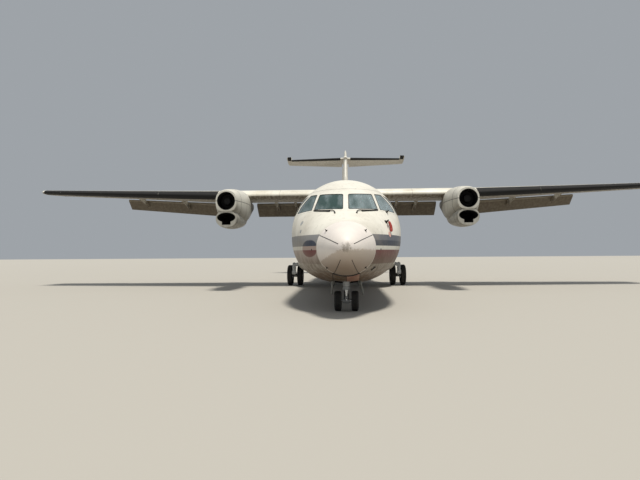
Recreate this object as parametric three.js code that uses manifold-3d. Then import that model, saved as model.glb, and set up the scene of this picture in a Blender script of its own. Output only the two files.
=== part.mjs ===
// Turboprop airliner: high wing, T-tail, two engine nacelles, standing on its landing gear.
// Millimetres. +X is the aircraft's port side, -Y is forward and +Z is up. The origin is on
// the floor, under the middle of the whole aircraft. Inside the airframe group, Y is the
// station: the distance aft of the nose tip. Flaps are fully down, the elevator droops and
// the rudder has swung to starboard, as on an aircraft left parked. Both propellers are off.

import * as THREE from "three";
import { mergeVertices } from "three/addons/utils/BufferGeometryUtils.js";
import Module from "manifold-3d";

const wasm = await Module();
wasm.setup();

// Driving dimensions
const LENGTH = 22670;
const HALF_SPAN = 12285;
const HEIGHT = 7590;
const GAP = 0.3; // between pieces that touch
const CLEAR = 8; // round surfaces that move
const RING_SIDES = 28; // round the fuselage

// Fuselage sections: station, half width, top, bottom, height of the widest line,
// squareness of the lower half (2 is an ellipse)
const FUSELAGE_TABLE = [
  [0, 0, 1400, 1400, 1400, 2],
  [100, 215, 1600, 1195, 1398, 2],
  [400, 410, 1790, 1000, 1400, 2],
  [950, 620, 1965, 820, 1420, 2.05],
  [1500, 930, 2215, 670, 1500, 2.2],
  [2200, 1200, 2610, 590, 1620, 2.35],
  [3000, 1365, 3010, 570, 1750, 2.4],
  [3800, 1425, 3240, 570, 1835, 2.4],
  [4600, 1432.5, 3290, 570, 1858, 2.4],
  [12800, 1432.5, 3290, 570, 1858, 2.4],
  [14500, 1400, 3290, 720, 1940, 2.3],
  [16500, 1220, 3262, 1150, 2150, 2.15],
  [18500, 880, 3180, 1700, 2420, 2],
  [20200, 500, 3060, 2220, 2640, 2],
  [21200, 220, 2935, 2520, 2730, 2],
  [21500, 90, 2880, 2620, 2750, 2],
];
// Fuselage barrels, split at their production joints: name, from, to, number of rings
const BARRELS = [
  ["radome", 0, 950, 6],
  ["nose_section", 950, 4000, 8],
  ["forward_fuselage", 4000, 8300, 2],
  ["centre_fuselage", 8300, 12800, 1],
  ["rear_fuselage", 12800, 16150, 4],
  ["rear_baggage_section", 16150, 17500, 2],
  ["tail_section", 17500, 21500, 5],
];
const COCKPIT = { front: 1250, floor: 1250, wall: 60 };
const PANE = { outer: 8, inner: 28, corner: 45 };
// Windscreen pane seen from ahead, as x and height, and side windows as station and height.
// The post between them is as wide, seen from ahead, as given at its foot and head.
const WINDSCREEN = [[56, 2267], [742, 2289], [632, 2727], [56, 2703]];
const POST = { foot: 42, head: 66, reach: 100 };
const SIDE_WINDOWS = [
  ["side_window_front", [[1980, 2285], [2660, 2727], [3085, 2750], [2862, 2252]]],
  ["side_window_rear", [[2975, 2255], [3170, 2745], [3400, 2700], [3440, 2235]]],
];
// The nose gear's bay: its forward doors are shut, up to doorsRear, and the rest is open
const NOSE_BAY = { halfWidth: 290, front: 985, doorsRear: 1560, rear: 2230, roof: 1150, doorPlate: 22 };
const DOOR_WALL = 90;
const ROOM_WALL = 100;
const CARGO_HOLD = { front: 4350, rear: 6000, floor: 1170 };
// Doors: ends, sill and head, gap and corner reach, the skin's half width at the middle, and
// how far the door is turned with the taper of the fuselage, in degrees
const CARGO_DOOR = {
  front: 4450, rear: 5720, sill: 1170, head: 2700, gap: 6, corner: 90, x: 1380, taper: 0,
};
const VESTIBULE = { front: 12960, rear: 16700, floor: 1370 };
const TAIL_ROOM = { wall: 60, rear: 20600 };
const ENTRY_DOOR = {
  front: 15200, rear: 15950, sill: 1370, head: 2970, gap: 6, corner: 110, x: 1180, taper: 14.6,
};
const ENTRY_SWING = 130; // degrees from closed to resting as a stair
const SERVICE_DOOR = {
  front: 15230, rear: 15840, sill: 1370, head: 2590, gap: GAP, corner: 90, x: 1200, taper: 14.6,
};

// Wing: a straight centre section, then tapered outer panels with dihedral
const WING = {
  joint: 4830, leading: 9150, chord: 2570, height: 3500, thickness: 0.18,
  tipSweep: 680, tipChord: 1410, tipThickness: 0.13, dihedral: THREE.MathUtils.degToRad(2.5),
  camber: 0.02, spar: 0.72, shroud: 0.84, shroudPlate: 15,
};
const WING_TIP = [[105, 1], [35, 0.97], [0, 0.84]]; // distance from the end, share of the chord
const FLAP = { down: 45, hingeAt: 0.7, hingeDrop: 0.1167, noseShare: 0.19, noseRise: 0.0078 };
const FLAP_INNER = { from: 1720, to: 3740, brackets: [2050, 2830] };
const FLAP_OUTER = { from: 4880, to: 9205, brackets: [5000, 6650, 8430] };
const AILERON = { from: 9255, to: 11960, hingeAt: 0.76, hinges: [9800, 11500] };
// Wing fairing and sponsons: station, half width, top, bottom
const FAIRING_TABLE = [
  [8150, 500, 3300, 2900], [8600, 900, 3450, 2750], [9150, 1180, 3700, 2650],
  [9800, 1290, 3835, 2600], [10800, 1300, 3835, 2600], [11700, 1180, 3720, 2650],
  [12400, 900, 3500, 2750], [13000, 450, 3310, 2900],
];
const SPONSON = { x: 1150, bayInner: 1000, bayFront: 9780, bayRear: 11050, bayRoof: 1100, bayFloor: 300 };
const SPONSON_TABLE = [
  [8500, 60, 1050, 950], [8800, 420, 1250, 700], [9400, 680, 1380, 560], [10200, 770, 1420, 520],
  [11000, 770, 1420, 520], [11800, 640, 1360, 580], [12500, 330, 1180, 760], [12900, 60, 1040, 940],
];

// Nacelles: upper body round the engine and chin body round the air intake
const NACELLE = { x: 4050, shaft: 3080, bore: 310, boreEnd: 9000 };
const NACELLE_TABLE = [
  [7060, 355, 3435, 2725], [7250, 400, 3490, 2660], [7700, 475, 3560, 2500], [8400, 520, 3620, 2370],
  [9200, 430, 3650, 2480], [10000, 310, 3480, 2690], [10800, 210, 3440, 2930], [11500, 120, 3420, 3130],
  [11900, 30, 3390, 3290],
];
const CHIN_TABLE = [
  [7080, 355, 2760, 2190], [7300, 380, 2800, 2165], [7800, 395, 2800, 2160], [8600, 380, 2800, 2230],
  [9200, 290, 2850, 2370], [9700, 160, 2900, 2560],
];
const NACELLE_POWERS = { upper: 2.4, lower: 3, chin: 2.2 }; // squareness of the sections
const INTAKE = { height: 2520, halfWidth: 315, halfHeight: 165, end: 7950, sides: 14 };
const OIL_COOLER = { halfWidth: 150, low: 2270, high: 2400 };
const ENGINE = { radius: 270, front: 7450, gearbox: 150, flange: 110, flangeFace: 7230, flangePlate: 45 };
const EXHAUST = {
  start: [4150, 9800, 2960], end: [4500, 11200, 2860], startRadius: 170, endRadius: 150, wall: 8,
};

// Tail: fin and stabiliser, each straight from root to tip
const FIN = {
  root: 3050, rootLeading: 17750, rootTrailing: 21650, top: 7050, topLeading: 20300, topTrailing: 22450,
  thickness: 0.11, bottom: 2700, hingeAt: 0.66,
};
const DORSAL = {
  front: 13900, frontTop: 3295, rear: 18640, rearTop: 4350, bottom: 2950,
  base: [60, 170], crest: [20, 70], shoulder: 30, // half widths at the front and rear
};
// The rudder head rises as it turns on its slanted hinge line, so it has a wide gap above it
const RUDDER = { from: 3120, to: 6760, headGap: 38, swing: 15, hinges: [3500, 4950, 6400] };
// Fin cap sections: height, leading edge, trailing edge, thickness share
const FIN_CAP = [[7120, 20380, 22380, 0.09], [7480, 20560, 22330, 0.08], [HEIGHT, 20760, 22250, 0.03]];
const STABILISER = {
  height: 7050, rootLeading: 20550, rootChord: 2050, halfSpan: 3655, tipLeading: 20950, tipChord: 1250,
  thickness: 0.11, fixedTo: 3340,
};
const ELEVATOR = { hinge: 21800, from: 210, horn: 3365, droop: 13, hinges: [700, 2900] };
const BULLET_TABLE = [
  [20150, 20, 7070, 7030], [20400, 110, 7170, 6930], [20900, 170, 7240, 6860], [21600, 180, 7250, 6850],
  [22200, 130, 7190, 6920], [22500, 70, 7130, 6980], [LENGTH, 12, 7062, 7038],
];

// Landing gear
const NOSE_GEAR = {
  station: 1700, leg: 78, legFoot: 560, piston: 50, pistonTop: 980,
  tyreRadius: 225, tyreWidth: 165, wheelX: 190, axle: 30, knuckle: 52, knuckleHalf: 80,
};
const MAIN_GEAR = {
  x: 2050, pivot: 9950, trail: 530, tyreRadius: 406, tyreWidth: 222, wheelX: 200,
  axle: 40, knuckle: 75, knuckleHalf: 65,
};
// Nose gear doors that hang open, each splayed by its own angle in degrees
const GEAR_DOOR = {
  x: 304, depth: 300, plate: 26, lift: 18, splay: { left: 12, right: 4 }, armHalf: 22,
};
const PIN_PLAY = 0.6; // round a pin in its bore
const WHEEL_SIDES = 16;

// Finishes
const finish = (color, roughness, metalness = 0) =>
  new THREE.MeshStandardMaterial({ color, roughness, metalness });
const WHITE_PAINT = finish(0xdfdfdb, 0.45);
const GREY_PAINT = finish(0xb9bcc4, 0.5);
const GLASS = finish(0x35504f, 0.12);
const TYRE_RUBBER = finish(0x232325, 0.85);
const ALUMINIUM = finish(0xa9adb2, 0.45, 0.7);
const BURNT_STEEL = finish(0x5b4a40, 0.55, 0.8);
const CABIN_GREY = finish(0x4a4d50, 0.8);
const SEAT_CLOTH = finish(0x3a4458, 0.9);

// Solids: closed meshes that can be joined and cut
function fromArrays(vertices, triangles) {
  const mesh = { numProp: 3, vertProperties: vertices, triVerts: triangles };
  return new wasm.Manifold(new wasm.Mesh(mesh));
}

function solid(geometry) {
  const bare = geometry.clone();
  bare.deleteAttribute("normal");
  bare.deleteAttribute("uv");
  const merged = mergeVertices(bare, 1e-3);
  const corners = merged.index.array;
  const triangles = [];
  for (let i = 0; i < corners.length; i += 3) {
    const [a, b, c] = [corners[i], corners[i + 1], corners[i + 2]];
    if (a !== b && b !== c && c !== a) triangles.push(a, b, c);
  }
  const vertices = Float32Array.from(merged.attributes.position.array);
  const body = fromArrays(vertices, Uint32Array.from(triangles));
  return body.volume() > 0 ? body : fromArrays(vertices, Uint32Array.from(triangles.reverse()));
}

const join = (first, ...others) => others.reduce((sum, other) => sum.add(other), first);
const cut = (first, ...others) => others.reduce((rest, other) => rest.subtract(other), first);
const overlap = (first, ...others) => others.reduce((common, other) => common.intersect(other), first);

// The same solid on the other side of the aircraft
function mirrored(body) {
  const { vertProperties, triVerts } = body.getMesh();
  const vertices = vertProperties.map((value, i) => (i % 3 === 0 ? -value : value));
  return fromArrays(vertices, triVerts.slice().reverse());
}

// Triangles that close a flat ring, wound the way the ring runs
function capTriangles(ring) {
  const normal = new THREE.Vector3();
  ring.forEach((point, i) => {
    const next = ring[(i + 1) % ring.length];
    normal.add(new THREE.Vector3(...point).cross(new THREE.Vector3(...next)));
  });
  const sizes = normal.toArray().map(Math.abs);
  const drop = sizes.indexOf(Math.max(...sizes));
  const flat = ring.map((point) => new THREE.Vector2(...point.filter((_, axis) => axis !== drop)));
  const turn = Math.sign(THREE.ShapeUtils.area(flat));
  return THREE.ShapeUtils.triangulateShape(flat, []).map((face) => {
    const area = THREE.ShapeUtils.area(face.map((corner) => flat[corner]));
    return Math.sign(area) === turn ? face : [...face].reverse();
  });
}

// A skin through rings of equal length, closed flat at both ends; an end may be one point
function loft(rings) {
  const positions = rings.flat(2);
  const starts = rings.map((_, k) => rings.slice(0, k).flat().length);
  const index = [];
  for (let k = 0; k + 1 < rings.length; k++) {
    const sides = Math.max(rings[k].length, rings[k + 1].length);
    const corner = (row, i) => starts[row] + (rings[row].length > 1 ? i % sides : 0);
    for (let i = 0; i < sides; i++) {
      index.push(corner(k, i), corner(k, i + 1), corner(k + 1, i + 1));
      index.push(corner(k, i), corner(k + 1, i + 1), corner(k + 1, i));
    }
  }
  const last = rings.length - 1;
  if (rings[0].length > 1) capTriangles(rings[0]).forEach(([a, b, c]) => index.push(c, b, a));
  if (rings[last].length > 1) {
    capTriangles(rings[last]).forEach((face) => index.push(...face.map((i) => starts[last] + i)));
  }
  const geometry = new THREE.BufferGeometry();
  geometry.setAttribute("position", new THREE.Float32BufferAttribute(positions, 3));
  geometry.setIndex(index);
  return solid(geometry);
}

// A flat outline placed across one axis: x takes station and height, y takes x and height,
// z takes x and station
const PLACE = {
  x: (t) => ([a, b]) => [t, a, b],
  y: (t) => ([a, b]) => [a, t, b],
  z: (t) => ([a, b]) => [a, b, t],
};
const prism = (outline, axis, from, to) =>
  loft([outline.map(PLACE[axis](from)), outline.map(PLACE[axis](to))]);
const rectangle = (a0, a1, b0, b1) => [[a0, b0], [a1, b0], [a1, b1], [a0, b1]];
const box = (x0, x1, s0, s1, z0, z1) => prism(rectangle(x0, x1, s0, s1), "z", z0, z1);

// An outline whose corners are rounded over a given reach
function rounded(outline, reach, steps = 2) {
  return outline.flatMap((corner, i) => {
    const ends = [outline.at(i - 1), outline[(i + 1) % outline.length]].map((other) => {
      const length = Math.hypot(other[0] - corner[0], other[1] - corner[1]);
      return corner.map((value, axis) => value + (other[axis] - value) * (reach / length));
    });
    return Array.from({ length: steps + 1 }, (_, k) => {
      const t = k / steps;
      return corner.map((value, axis) =>
        (1 - t) ** 2 * ends[0][axis] + 2 * t * (1 - t) * value + t ** 2 * ends[1][axis]);
    });
  });
}

// An outline moved inwards by a distance, side by side
function inset(outline, distance) {
  const flat = outline.map((point) => new THREE.Vector2(...point));
  const turn = Math.sign(THREE.ShapeUtils.area(flat));
  return flat.map((point, i) => {
    const before = point.clone().sub(flat.at(i - 1)).normalize();
    const after = flat[(i + 1) % flat.length].clone().sub(point).normalize();
    const inward = new THREE.Vector2(-before.y - after.y, before.x + after.x).normalize();
    const share = inward.dot(new THREE.Vector2(-after.y, after.x));
    return point.clone().addScaledVector(inward, (turn * distance) / share).toArray();
  });
}

const vector = (point) => new THREE.Vector3(...point);
const along = (p, q, share) => p.map((value, axis) => value + (q[axis] - value) * share);

// A round bar between two points, straight or tapered
function rod(p, q, radius, sides = 12, endRadius = radius, phase = 0.5) {
  const axis = vector(q).sub(vector(p)).normalize();
  const side = new THREE.Vector3(Math.abs(axis.x) > 0.9 ? 0 : 1, 0, Math.abs(axis.x) > 0.9 ? 1 : 0);
  const across = side.cross(axis).normalize();
  const up = axis.clone().cross(across);
  const ringAt = (centre, size) => Array.from({ length: sides }, (_, i) => {
    const angle = (2 * Math.PI * (i + phase)) / sides;
    const point = vector(centre).addScaledVector(across, size * Math.cos(angle));
    return point.addScaledVector(up, size * Math.sin(angle)).toArray();
  });
  return loft([ringAt(p, radius), ringAt(q, endRadius)]);
}

// A bore whose flat sides clear a pin that turns in it
const bore = (p, q, pin, sides = 12, phase = 0) =>
  rod(p, q, (pin + PIN_PLAY) / Math.cos(Math.PI / sides), sides, undefined, phase);

// A flat bar from p to q, with its width along the given direction
function bar(p, q, direction, width, depth) {
  const wide = vector(direction).normalize().multiplyScalar(width / 2);
  const deep = vector(q).sub(vector(p)).cross(wide).normalize().multiplyScalar(depth / 2);
  const ringAt = (centre) => [[1, 1], [-1, 1], [-1, -1], [1, -1]].map(([a, b]) =>
    vector(centre).addScaledVector(wide, a).addScaledVector(deep, b).toArray());
  return loft([ringAt(p), ringAt(q)]);
}

// A ring or disc turned about a line along X; the profile is [offset along X, radius], and a
// flat side of its outline rests on the floor
function turnedAlongX(profile, centre, sides) {
  const half = Math.PI / sides;
  const points = profile.map(([offset, radius]) => new THREE.Vector2(radius / Math.cos(half), offset));
  const geometry = new THREE.LatheGeometry(points, sides, half);
  geometry.rotateZ(-Math.PI / 2);
  geometry.translate(...centre);
  return solid(geometry);
}

// A smooth line through one column of a table, never overshooting its values. The slope at
// a row is the harmonic mean of its neighbours', against the square root of the station.
function curve(table, column) {
  const at = table.map((row) => Math.sqrt(row[0]));
  const value = table.map((row) => row[column]);
  const rise = at.slice(1).map((_, k) => (value[k + 1] - value[k]) / (at[k + 1] - at[k]));
  const slope = at.map((_, k) => {
    const [before, after] = [rise[k - 1] ?? rise[k], rise[k] ?? rise[k - 1]];
    return before * after > 0 ? (2 * before * after) / (before + after) : 0;
  });
  return (station) => {
    const where = Math.min(Math.max(Math.sqrt(station), at[0]), at.at(-1));
    const k = Math.min(Math.max(at.findIndex((edge) => edge > where) - 1, 0), at.length - 2);
    const row = where >= at.at(-1) ? at.length - 2 : k;
    const width = at[row + 1] - at[row];
    const t = (where - at[row]) / width;
    return (2 * t ** 3 - 3 * t ** 2 + 1) * value[row] + (t ** 3 - 2 * t ** 2 + t) * width * slope[row]
      + (3 * t ** 2 - 2 * t ** 3) * value[row + 1] + (t ** 3 - t ** 2) * width * slope[row + 1];
  };
}

// Stations from one end to the other, closer together towards the nose
const spread = (from, to, pieces) => Array.from({ length: pieces + 1 }, (_, k) =>
  Math.round((Math.sqrt(from) + (Math.sqrt(to) - Math.sqrt(from)) * (k / pieces)) ** 2));

// A long body: sections of two half superellipses at given stations, from a table of sizes
function longBody(table, upperPower, lowerPower, sides, x = 0) {
  const columns = table[0].map((_, column) => curve(table, column));
  return (stations, wall = 0) => loft(stations.map((station) => {
    const [halfWidth, top, bottom] = columns.slice(1, 4).map((size) => size(station));
    const widest = columns[4] ? columns[4](station) : (top + bottom) / 2;
    const lower = columns[5] ? columns[5](station) : lowerPower;
    if (halfWidth - wall < 1) return [[x, station, widest]];
    return Array.from({ length: sides }, (_, i) => {
      const angle = (2 * Math.PI * i) / sides;
      const [c, s] = [Math.cos(angle), Math.sin(angle)];
      const power = 2 / (s >= 0 ? upperPower : lower);
      const half = s >= 0 ? top - wall - widest : widest - bottom - wall;
      const across = (halfWidth - wall) * Math.sign(c) * Math.abs(c) ** power;
      return [x + across, station, widest + half * Math.sign(s) * Math.abs(s) ** power];
    });
  }));
}
const tableSpread = (table, pieces) => spread(table[0][0], table.at(-1)[0], pieces);

const fuselage = longBody(FUSELAGE_TABLE, 2, 2, RING_SIDES);
const barrelStations = BARRELS.map(([, from, to, pieces]) => spread(from, to, pieces));
const allStations = barrelStations.slice(1).flatMap((list, k) => list.slice(k ? 1 : 0));
const wholeFuselage = (wall) => fuselage(allStations, wall);

// A round nose with straight sides to a blunt tail, in two numbers such as station and height
function wedge(centre, radius, tail, tailHalf, steps = 7) {
  const reach = Math.hypot(tail[0] - centre[0], tail[1] - centre[1]);
  const heading = Math.atan2(tail[1] - centre[1], tail[0] - centre[0]);
  const touch = Math.acos((radius - tailHalf) / reach);
  const nose = Array.from({ length: steps + 1 }, (_, k) => {
    const angle = heading + touch + (2 * Math.PI - 2 * touch) * (k / steps);
    return [centre[0] + radius * Math.cos(angle), centre[1] + radius * Math.sin(angle)];
  });
  return [[tail[0], tail[1] + tailHalf], ...nose, [tail[0], tail[1] - tailHalf]];
}

// Half thickness of a classic four-digit aerofoil, as a share of its chord per unit thickness
const halfThickness = (u) =>
  5 * (0.2969 * Math.sqrt(u) - 0.126 * u - 0.3516 * u ** 2 + 0.2843 * u ** 3 - 0.1015 * u ** 4);
const CHORD_STEPS = [1, 0.84, 0.72, 0.5, 0.3, 0.13, 0.04, 0.01];

// The points round a symmetrical or cambered aerofoil, as distance aft and height
function aerofoil(leading, chord, thickness, camber = 0, grow = 0) {
  const point = (u, side) => [
    leading + u * chord,
    chord * 4 * camber * u * (1 - u) + side * (chord * thickness * halfThickness(u) + grow),
  ];
  const upper = CHORD_STEPS.map((u) => point(u, 1));
  const lower = CHORD_STEPS.map((u) => point(u, -1)).reverse();
  return [...upper, [leading - grow, 0], ...lower];
}

// A fork hinge: a lug of the fixed piece carries a pin of the moving piece, in a notch
const LUG = { width: 24, side: 6, boss: 22, pin: 10, pinGrip: 15, arm: 30, embed: 30 };
function forkHinge([fixed, moving], at, direction, noseRadius, forward) {
  const axis = vector(direction).normalize();
  const shift = (distance) => vector(at).addScaledVector(axis, distance).toArray();
  const across = (half, radius, sides = 8) => rod(shift(-half), shift(half), radius, sides);
  const reach = noseRadius + CLEAR + LUG.embed;
  const square = vector(forward).addScaledVector(axis, -axis.dot(vector(forward))).normalize();
  const root = vector(at).addScaledVector(square, reach).toArray();
  const notchHalf = LUG.width / 2 + LUG.side;
  const lug = join(across(LUG.width / 2, LUG.boss), bar(at, root, direction, LUG.width, LUG.arm));
  const pin = across(notchHalf + LUG.pinGrip, LUG.pin);
  const drilled = cut(lug, bore(shift(-LUG.width), shift(LUG.width), LUG.pin, 8));
  return [join(fixed, drilled), join(cut(moving, across(notchHalf, noseRadius + LUG.side, 12)), pin)];
}

// Mesh and scene helpers
const aircraft = new THREE.Group();
const airframe = new THREE.Group();
airframe.position.y = -LENGTH / 2;
aircraft.add(airframe);

function add(name, body, material, parent = airframe) {
  const { vertProperties, triVerts } = body.getMesh();
  const geometry = new THREE.BufferGeometry();
  geometry.setAttribute("position", new THREE.Float32BufferAttribute(vertProperties, 3));
  geometry.setIndex(Array.from(triVerts));
  const flat = geometry.toNonIndexed();
  flat.computeVertexNormals();
  const mesh = new THREE.Mesh(flat, material);
  mesh.name = name;
  mesh.position.copy(parent.userData.origin ?? new THREE.Vector3());
  parent.add(mesh);
}

function addPair(name, body, material) {
  add(`${name}_left`, body, material);
  add(`${name}_right`, mirrored(body), material);
}

// A group turned about a hinge line; what is added to it is drawn unturned
function turnedGroup(hinge, direction, degrees) {
  const group = new THREE.Group();
  group.position.copy(vector(hinge));
  group.quaternion.setFromAxisAngle(vector(direction).normalize(), THREE.MathUtils.degToRad(degrees));
  group.userData.origin = vector(hinge).negate();
  airframe.add(group);
  return group;
}

// Fuselage barrels, before doors and windows are cut
const barrel = Object.fromEntries(BARRELS.map(([name, from, to], k) => {
  const ends = { [from]: from === 0 ? 0 : from + GAP / 2, [to]: to - GAP / 2 };
  return [name, (wall) => fuselage(barrelStations[k].map((station) => ends[station] ?? station), wall)];
}));

// The half width of the skin at a station and height, by the fuselage's own formula
const skinColumns = [1, 2, 3, 4, 5].map((column) => curve(FUSELAGE_TABLE, column));
function skinX(station, height) {
  const [halfWidth, top, bottom, widest, lower] = skinColumns.map((size) => size(station));
  const power = height > widest ? 2 : lower;
  const half = height > widest ? top - widest : widest - bottom;
  return halfWidth * (1 - (Math.abs(height - widest) / half) ** power) ** (1 / power);
}

// A door's own directions: along its sill, and straight out through the skin
function doorFrame(door) {
  const turn = THREE.MathUtils.degToRad(door.taper);
  const middle = (door.front + door.rear) / 2;
  const sill = [-Math.sin(turn), Math.cos(turn), 0];
  const outward = [Math.cos(turn), Math.sin(turn), 0];
  const place = (out) => ([station, height]) => [
    door.x + outward[0] * out + sill[0] * (station - middle),
    middle + outward[1] * out + sill[1] * (station - middle), height,
  ];
  return { sill, outward, place };
}

// An opening in the port side, as a solid that cuts through the wall
function doorCutter(door, shrink = 0) {
  const { place } = doorFrame(door);
  const frame = rounded(rectangle(door.front, door.rear, door.sill, door.head), door.corner);
  const outline = inset(frame, shrink);
  return loft([-560, 300].map((out) => outline.map(place(out))));
}
const doorLeaf = (door, section) =>
  overlap(cut(section(0), section(DOOR_WALL)), doorCutter(door, door.gap));

// An external hinge along a door's edge: bosses in turn on the body and on the door
const KNUCKLE = { radius: 17, pin: 8, length: 70, gap: 6, arm: 16 };
const stepAlong = (point, direction, distance) =>
  point.map((value, axis) => value + direction[axis] * distance);
function knuckle(centre, direction, anchor, drilled) {
  const ends = (half) => [stepAlong(centre, direction, -half), stepAlong(centre, direction, half)];
  const boss = rod(...ends(KNUCKLE.length / 2), KNUCKLE.radius, 8);
  const whole = join(boss, bar(centre, anchor, direction, KNUCKLE.length, KNUCKLE.arm));
  return drilled ? cut(whole, bore(...ends(KNUCKLE.length), KNUCKLE.pin, 8)) : whole;
}

function hangDoor(body, leaf, door, hinge) {
  const { sill, outward, place } = doorFrame(door);
  const step = KNUCKLE.length + KNUCKLE.gap;
  let [fixed, moving] = [body, leaf];
  for (const station of hinge.stations) {
    const centre = place(hinge.out)([station, hinge.height]);
    const anchorAt = (at, [out, up]) => stepAlong(stepAlong(at, outward, out), [0, 0, 1], up);
    fixed = join(fixed, knuckle(centre, sill, anchorAt(centre, hinge.bodyAnchor), true));
    const ends = [-step, step].map((distance) => stepAlong(centre, sill, distance));
    const knuckles = ends.map((end) => knuckle(end, sill, anchorAt(end, hinge.leafAnchor), false));
    moving = join(moving, ...knuckles, rod(...ends, KNUCKLE.pin, 8));
  }
  return [fixed, moving];
}

// Hinge lines outside the skin: how far out of the door's middle and how high the axis is,
// and where its arms reach the body and the door, as steps outwards and up
const CARGO_HINGE = {
  out: -196, height: 2714, bodyAnchor: [-98, 34], leafAnchor: [-34, -64], stations: [4750, 5420],
};
const ENTRY_HINGE = {
  out: -42, height: 1334, bodyAnchor: [-122, -8], leafAnchor: [-18, 85], stations: [15420, 15730],
};
const TREAD = { count: 5, first: 0.16, step: 0.17, depth: 190, plate: 28, width: 540, root: 60 };

// Treads on the inside of the entry door, level once it has swung down
function treads() {
  const { sill, outward } = doorFrame(ENTRY_DOOR);
  const middle = (ENTRY_DOOR.front + ENTRY_DOOR.rear) / 2;
  const swing = THREE.MathUtils.degToRad(ENTRY_SWING);
  return Array.from({ length: TREAD.count }, (_, k) => {
    const share = TREAD.first + TREAD.step * k;
    const height = ENTRY_DOOR.sill + share * (ENTRY_DOOR.head - ENTRY_DOOR.sill);
    const wall = [skinX(middle, height) - TREAD.root, middle, height];
    const level = stepAlong(outward.map((value) => value * Math.cos(swing)), [0, 0, 1], Math.sin(swing));
    return bar(wall, stepAlong(wall, level, TREAD.depth), sill, TREAD.width, TREAD.plate);
  });
}

// Nose section: hollow cockpit, gear bay, window openings and a jacking pad
const windscreenOutline = rounded(WINDSCREEN, PANE.corner);
const windscreenPrism = (shrink) => prism(inset(windscreenOutline, shrink), "y", 1400, 3000);
function insidePost(grow) {
  const [[footX, foot], [headX, head]] = [WINDSCREEN[1], WINDSCREEN[2]];
  const lean = (POST.reach * (headX - footX)) / (head - foot);
  const outline = [
    [0, foot - POST.reach], [footX - lean + POST.foot + grow, foot - POST.reach],
    [headX + lean + POST.head + grow, head + POST.reach], [0, head + POST.reach],
  ];
  return prism(outline, "y", 1400, 3000);
}
const sidePrism = (outline, shrink) =>
  cut(prism(inset(rounded(outline, PANE.corner), shrink), "x", 450, 1700), insidePost(shrink));
const NOSE_JACK = { station: 2450, radius: 40, face: 560, root: 660 };
const jackPad = (x, station, jack) => rod([x, station, jack.face], [x, station, jack.root], jack.radius);

function noseSection() {
  const room = overlap(fuselage([...spread(COCKPIT.front, 4000, 7), 4200], COCKPIT.wall),
    box(-1600, 1600, COCKPIT.front, 4200, COCKPIT.floor, 3400));
  const bay = box(-NOSE_BAY.halfWidth, NOSE_BAY.halfWidth, NOSE_BAY.front, NOSE_BAY.rear,
    300, NOSE_BAY.roof);
  const openings = [windscreenPrism(0), ...SIDE_WINDOWS.map(([, outline]) => sidePrism(outline, 0))];
  const shell = cut(barrel.nose_section(0), room, bay, ...openings, ...openings.map(mirrored));
  return join(shell, jackPad(0, NOSE_JACK.station, NOSE_JACK));
}

// The forward doors of the nose gear's bay are shut: two leaves that meet in the middle
const noseDoorShut = overlap(
  cut(barrel.nose_section(0), barrel.nose_section(NOSE_BAY.doorPlate)),
  box(GAP / 2, NOSE_BAY.halfWidth - GAP, NOSE_BAY.front + GAP, NOSE_BAY.doorsRear, 300, NOSE_BAY.roof));

const paneShell = cut(barrel.nose_section(PANE.outer), barrel.nose_section(PANE.inner));
add("radome", barrel.radome(0), WHITE_PAINT);
add("nose_section", noseSection(), WHITE_PAINT);
addPair("nose_gear_door_shut", noseDoorShut, WHITE_PAINT);
addPair("windscreen", overlap(paneShell, windscreenPrism(0.4)), GLASS);
for (const [name, outline] of SIDE_WINDOWS) {
  addPair(name, overlap(paneShell, sidePrism(outline, 0.4)), GLASS);
}

// Forward fuselage with its cargo hold and door
const holdRoom = overlap(barrel.forward_fuselage(ROOM_WALL),
  box(-1600, 1600, CARGO_HOLD.front, CARGO_HOLD.rear, CARGO_HOLD.floor, 3400));
const [forwardFuselage, cargoDoor] = hangDoor(
  cut(barrel.forward_fuselage(0), holdRoom, doorCutter(CARGO_DOOR)),
  doorLeaf(CARGO_DOOR, barrel.forward_fuselage), CARGO_DOOR, CARGO_HINGE);
add("forward_fuselage", forwardFuselage, WHITE_PAINT);
add("cargo_door", cargoDoor, WHITE_PAINT);
add("centre_fuselage", barrel.centre_fuselage(0), WHITE_PAINT);

// Rear fuselage with the entrance, its stair door and the service door
const rearRoom = overlap(wholeFuselage(ROOM_WALL),
  box(-1600, 1600, VESTIBULE.front, VESTIBULE.rear, VESTIBULE.floor, 3400));
const [rearFuselage, entryDoor] = hangDoor(
  cut(barrel.rear_fuselage(0), rearRoom, doorCutter(ENTRY_DOOR), mirrored(doorCutter(SERVICE_DOOR))),
  join(doorLeaf(ENTRY_DOOR, barrel.rear_fuselage), ...treads()), ENTRY_DOOR, ENTRY_HINGE);
add("rear_fuselage", rearFuselage, WHITE_PAINT);
add("passenger_door", entryDoor, WHITE_PAINT);
add("rear_baggage_section", cut(barrel.rear_baggage_section(0), rearRoom), WHITE_PAINT);
const tailFront = BARRELS.at(-1)[1];
const tailStations = spread(tailFront, TAIL_ROOM.rear, 3).slice(1);
const tailRoom = fuselage([tailFront - 10, ...tailStations], TAIL_ROOM.wall);
add("tail_section", cut(barrel.tail_section(0), tailRoom), WHITE_PAINT);
add("service_door", mirrored(doorLeaf(SERVICE_DOOR, barrel.rear_fuselage)), WHITE_PAINT);

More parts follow.
